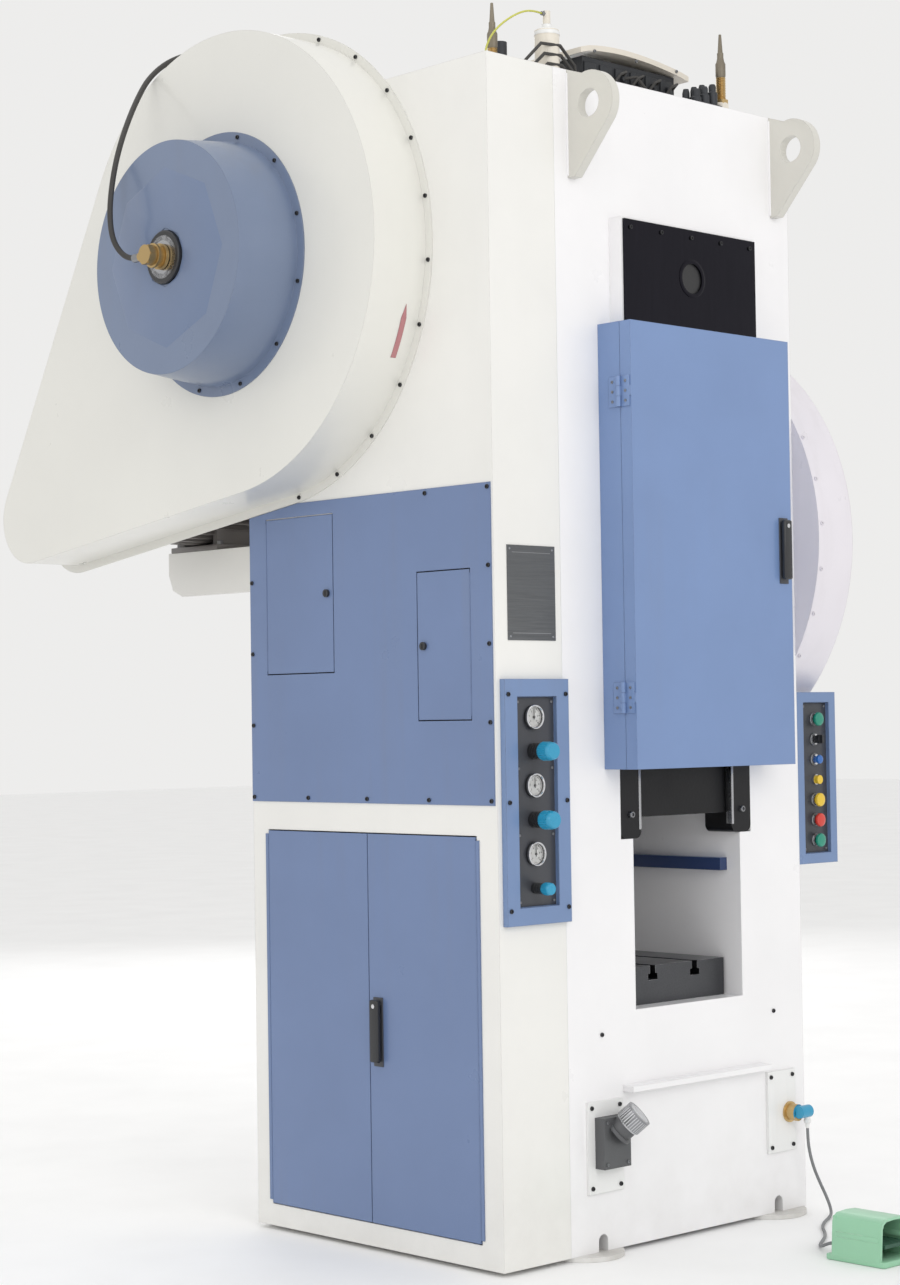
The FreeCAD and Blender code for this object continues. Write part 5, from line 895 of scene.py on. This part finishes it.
def foot_switch_hood():
    """Cast hood with an arched roof and splayed foot, open at the toe end."""
    low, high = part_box("foot_switch")
    middle = (low.x + high.x) / 2
    half = (high.x - low.x) / 2
    wall = 0.007
    roof = high.z

    def arch(inset, y):
        points = [Vector((middle - half + inset, y, low.z + 0.012))]
        for step in range(9):
            angle = math.pi - math.pi * step / 8
            lean = math.copysign(abs(math.cos(angle)) ** 0.45, math.cos(angle))
            points.append(Vector((middle + (half - 0.004 - inset) * lean, y,
                                  roof - 0.05 + (0.05 - inset) * math.sin(angle) ** 0.6)))
        points.append(Vector((middle + half - inset, y, low.z + 0.012)))
        return points
    hood = Piece()
    hood.extrude(arch(0, low.y + 0.012), BACK * (high.y - low.y - 0.03), arch(wall, low.y + 0.012))
    hood.slab((low.x + wall, high.y - 0.026, low.z + 0.012), (high.x - wall, high.y - 0.018, roof - 0.008), 2)
    hood.slab((low.x, low.y, low.z), (high.x, high.y, low.z + 0.016), 3)
    for x in (low.x + 0.002, high.x - 0.014):
        hood.slab((x, low.y + 0.02, roof - 0.062), (x + 0.012, high.y - 0.03, roof - 0.048), 2)
    hood.place("foot_switch_casting", SWITCH_GREEN, "root", ["foot_switch"])
    Piece().turn([(0, -2), (9, -2), (9, 8), (7, 10), (7, 22), (5, 24)], (middle, high.y - 0.019, 0.030), BACK,
                 20).place("foot_cable_gland", BLACK_PLASTIC)
    ribs = Piece()
    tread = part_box("foot_treadle")
    for step in range(8):
        y = tread[0].y + 0.010 + 0.012 * step
        ribs.slab((tread[0].x + 0.012, y, tread[1].z - 0.006),
                  (tread[1].x - 0.012, y + 0.005, tread[1].z - 0.0005), 1)
    ribs.place("treadle_ribs", TREADLE, "foot_treadle")


def port_details():
    """Small bolts and the knurled plug of the socket, and the ring of the cable plug."""
    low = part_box("front_ports")[0]
    base = Vector((low.x + 0.026, -0.642, 0.170 + 0.068))
    bolts = Piece()
    for x in (0.012, 0.092):
        for z in (0.012, 0.124):
            bolts.socket_screw(base + Vector((x, 0, z)), FRONT, 4.5, 4)
    slant = Vector((0.42, -0.62, 0.66)).normalized()
    seat = Vector((-0.349, -0.636, 0.329))
    bolts.place("socket_bolts", SCREW_STEEL)
    Piece().turn([(36, 36), (39.4, 42), (39.4, 78), (36, 82), (30, 83.5), (0, 83.5)], seat, slant, 96, 32,
                 0.04).place("socket_plug", ALUMINIUM)
    Piece().turn([(34, 2), (40, 3), (40, 12), (34, 13)], seat, slant, 40).place("socket_flange", CAST_GREY)
    nut = Vector((0.416, -0.608, 0.295))
    Piece().turn([(24, 0), (30, 0), (30, 5), (24, 6)], nut, FRONT, 40).place("cable_plug_ring", BRASS)
    Piece().turn([(17, 34), (17, 35.2), (0, 35.2)], nut, FRONT, 32).place("cable_plug_face", DIAL_BLACK)
    gland = Vector((0.438, -0.656, 0.265))
    Piece().turn([(9, 0), (10.5, 1), (10.5, 10), (9, 11)], gland, UP, 6).turn(
        [(9.2, 12), (7, -1), (5.6, -14), (4.6, -15)], gland, UP, 24).place("cable_gland_nut", GREY_PLATE)


def die_space_details():
    """Bright steel strips along the gib edges, a painted highlight where those edges catch the light; bolts
    at the gibs, the sight ring and disc, and the nameplate's rivets and lines.
    """
    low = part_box("gibs")[0]
    inner = 0.1915
    strips, bolts = Piece(), Piece()
    for side in (-1, 1):
        x = side * inner
        # Painted highlight: bright steel strips along the gib edges, where those edges catch the light.
        strips.slab((min(x, x + side * 0.009), low.y - 0.0012, low.z + 0.024),
                    (max(x, x + side * 0.009), low.y + 0.02, low.z + 0.19), 0.6)
        bolts.socket_screw((side * 0.234, low.y, low.z + 0.066), FRONT, 9, 9)
    strips.place("gib_edge_highlight_strips", BRIGHT_STEEL)
    bolts.place("gib_bolts", SCREW_STEEL)
    rim = Piece()
    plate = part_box("crown_plate")
    sight = Vector((0, plate[0].y, 2.672))
    rim.turn([(42, -6), (42, 1), (50, 2.4), (54, 1), (54, 0)], sight, FRONT, 48)
    rim.place("sight_ring", DARK_PLATE)
    disc = Piece().turn([(0, -5.5), (42, -5.5), (42, -4.5), (0, -4.5)], sight, FRONT, 40)
    disc.place("sight_disc", DIAL_BLACK)
    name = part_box("nameplate")
    rivets = Piece()
    for x in (name[0].x + 0.010, name[1].x - 0.010):
        for z in (name[0].z + 0.010, name[1].z - 0.010):
            rivets.turn([(0, 0), (3.4, 0), (2.8, 1.2), (1.4, 1.9), (0, 2.1)], (x, name[0].y, z), FRONT, 20)
    rivets.place("nameplate_rivets", SCREW_STEEL)
    border = Piece()
    for bottom, top in ((name[0].z + 0.018, name[0].z + 0.020), (name[1].z - 0.020, name[1].z - 0.018)):
        border.slab((name[0].x + 0.018, name[0].y - 0.0004, bottom), (name[1].x - 0.018, name[0].y, top), 0)
    border.place("nameplate_lines", SCREW_STEEL)


def gear_cover_bolts():
    """Screws round the gear cover's rim where it meets the frame."""
    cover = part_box("gear_cover")
    centre = pivot("crank_spin")
    radius = 0.695
    screws = Piece()
    for step in range(22):
        angle = math.radians(-205 + 11 * step)
        out = Vector((0, math.cos(angle), math.sin(angle)))
        screws.socket_screw(Vector((cover[0].x + 0.014, centre.y, centre.z)) + out * radius, out, 6, 4)
    screws.place("gear_cover_screws", WHITE_COVER)


def turning_arrow():
    """A plain red arrow on the belt guard's rim, laid along the way the flywheel turns."""
    hub = pivot("flywheel_spin")
    radius = 0.6556
    middle, half_length = -0.800, 0.075
    centre_angle = math.atan2(2.488 - hub.z, -0.317 - hub.y)
    steps = 12
    body_half_width = 0.009
    taper = 0.25
    arrow = Piece()

    def on(along, across):
        angle = centre_angle - along / radius
        return Vector((middle + across, hub.y + radius * math.cos(angle), hub.z + radius * math.sin(angle)))

    def half_width(share):
        return body_half_width * min(1, (1 - share) / taper)
    for step in range(steps):
        first, second = step / steps, (step + 1) / steps
        start, stop = half_length * (2 * first - 1), half_length * (2 * second - 1)
        wide, narrow = half_width(first), half_width(second - 0.0001)
        quad = [on(start, -wide), on(start, wide), on(stop, narrow), on(stop, -narrow)]
        out = (quad[0] - Vector((quad[0].x, hub.y, hub.z))).normalized() * 0.0006
        arrow.extrude(quad, out)
    arrow.place("turning_arrow", ARROW_RED)


def weld_beads():
    """Fillet welds where the lifting lugs and the drip ledge meet the frame."""
    face = FRONT_FACE
    bead = Piece()
    for side in (-1, 1):
        for edge in (-0.014, 0.014):
            x = side * 0.428 + edge
            bead.sweep([(x, face - 0.001, 2.91), (x, face - 0.001, 3.05), (x, face - 0.001, 3.19)], 3.5, 8)
            bead.sweep([(x, -face + 0.001, 2.91), (x, -face + 0.001, 3.05), (x, -face + 0.001, 3.19)], 3.5, 8)
    for z in (0.4305, 0.4455):
        bead.sweep([(-0.28, face - 0.001, z), (0.01, face - 0.001, z), (0.30, face - 0.001, z)], 2.5, 8)
    bead.place("weld_beads", WHITE)


make_camera()
cord("clutch_air_hose", "clutch_hose", CLUTCH_HOSE, 0.016)
cord("oil_air_tube", "air_tube", AIR_TUBE, 0.006)
cord("foot_switch_cable", "foot_cable", FOOT_CABLE, 0.009)
dress_nodes()
make_studio()
two_tone_nodes()
for number in (1, 2, 3):
    gauge(number)
    regulator(number)
instrument_plates()
buttons()
swing_lever("door_handle", "door_handle", FRONT, "guard_door")
swing_lever("cabinet_handle", "cabinet_handle", LEFT, "cabinet_door_front")
guard_door_hinges()
clutch_cap_trim()
cover_screw_sockets()
crown_items()
motor_shell()
foot_switch_hood()
port_details()
die_space_details()
gear_cover_bolts()
turning_arrow()
weld_beads()
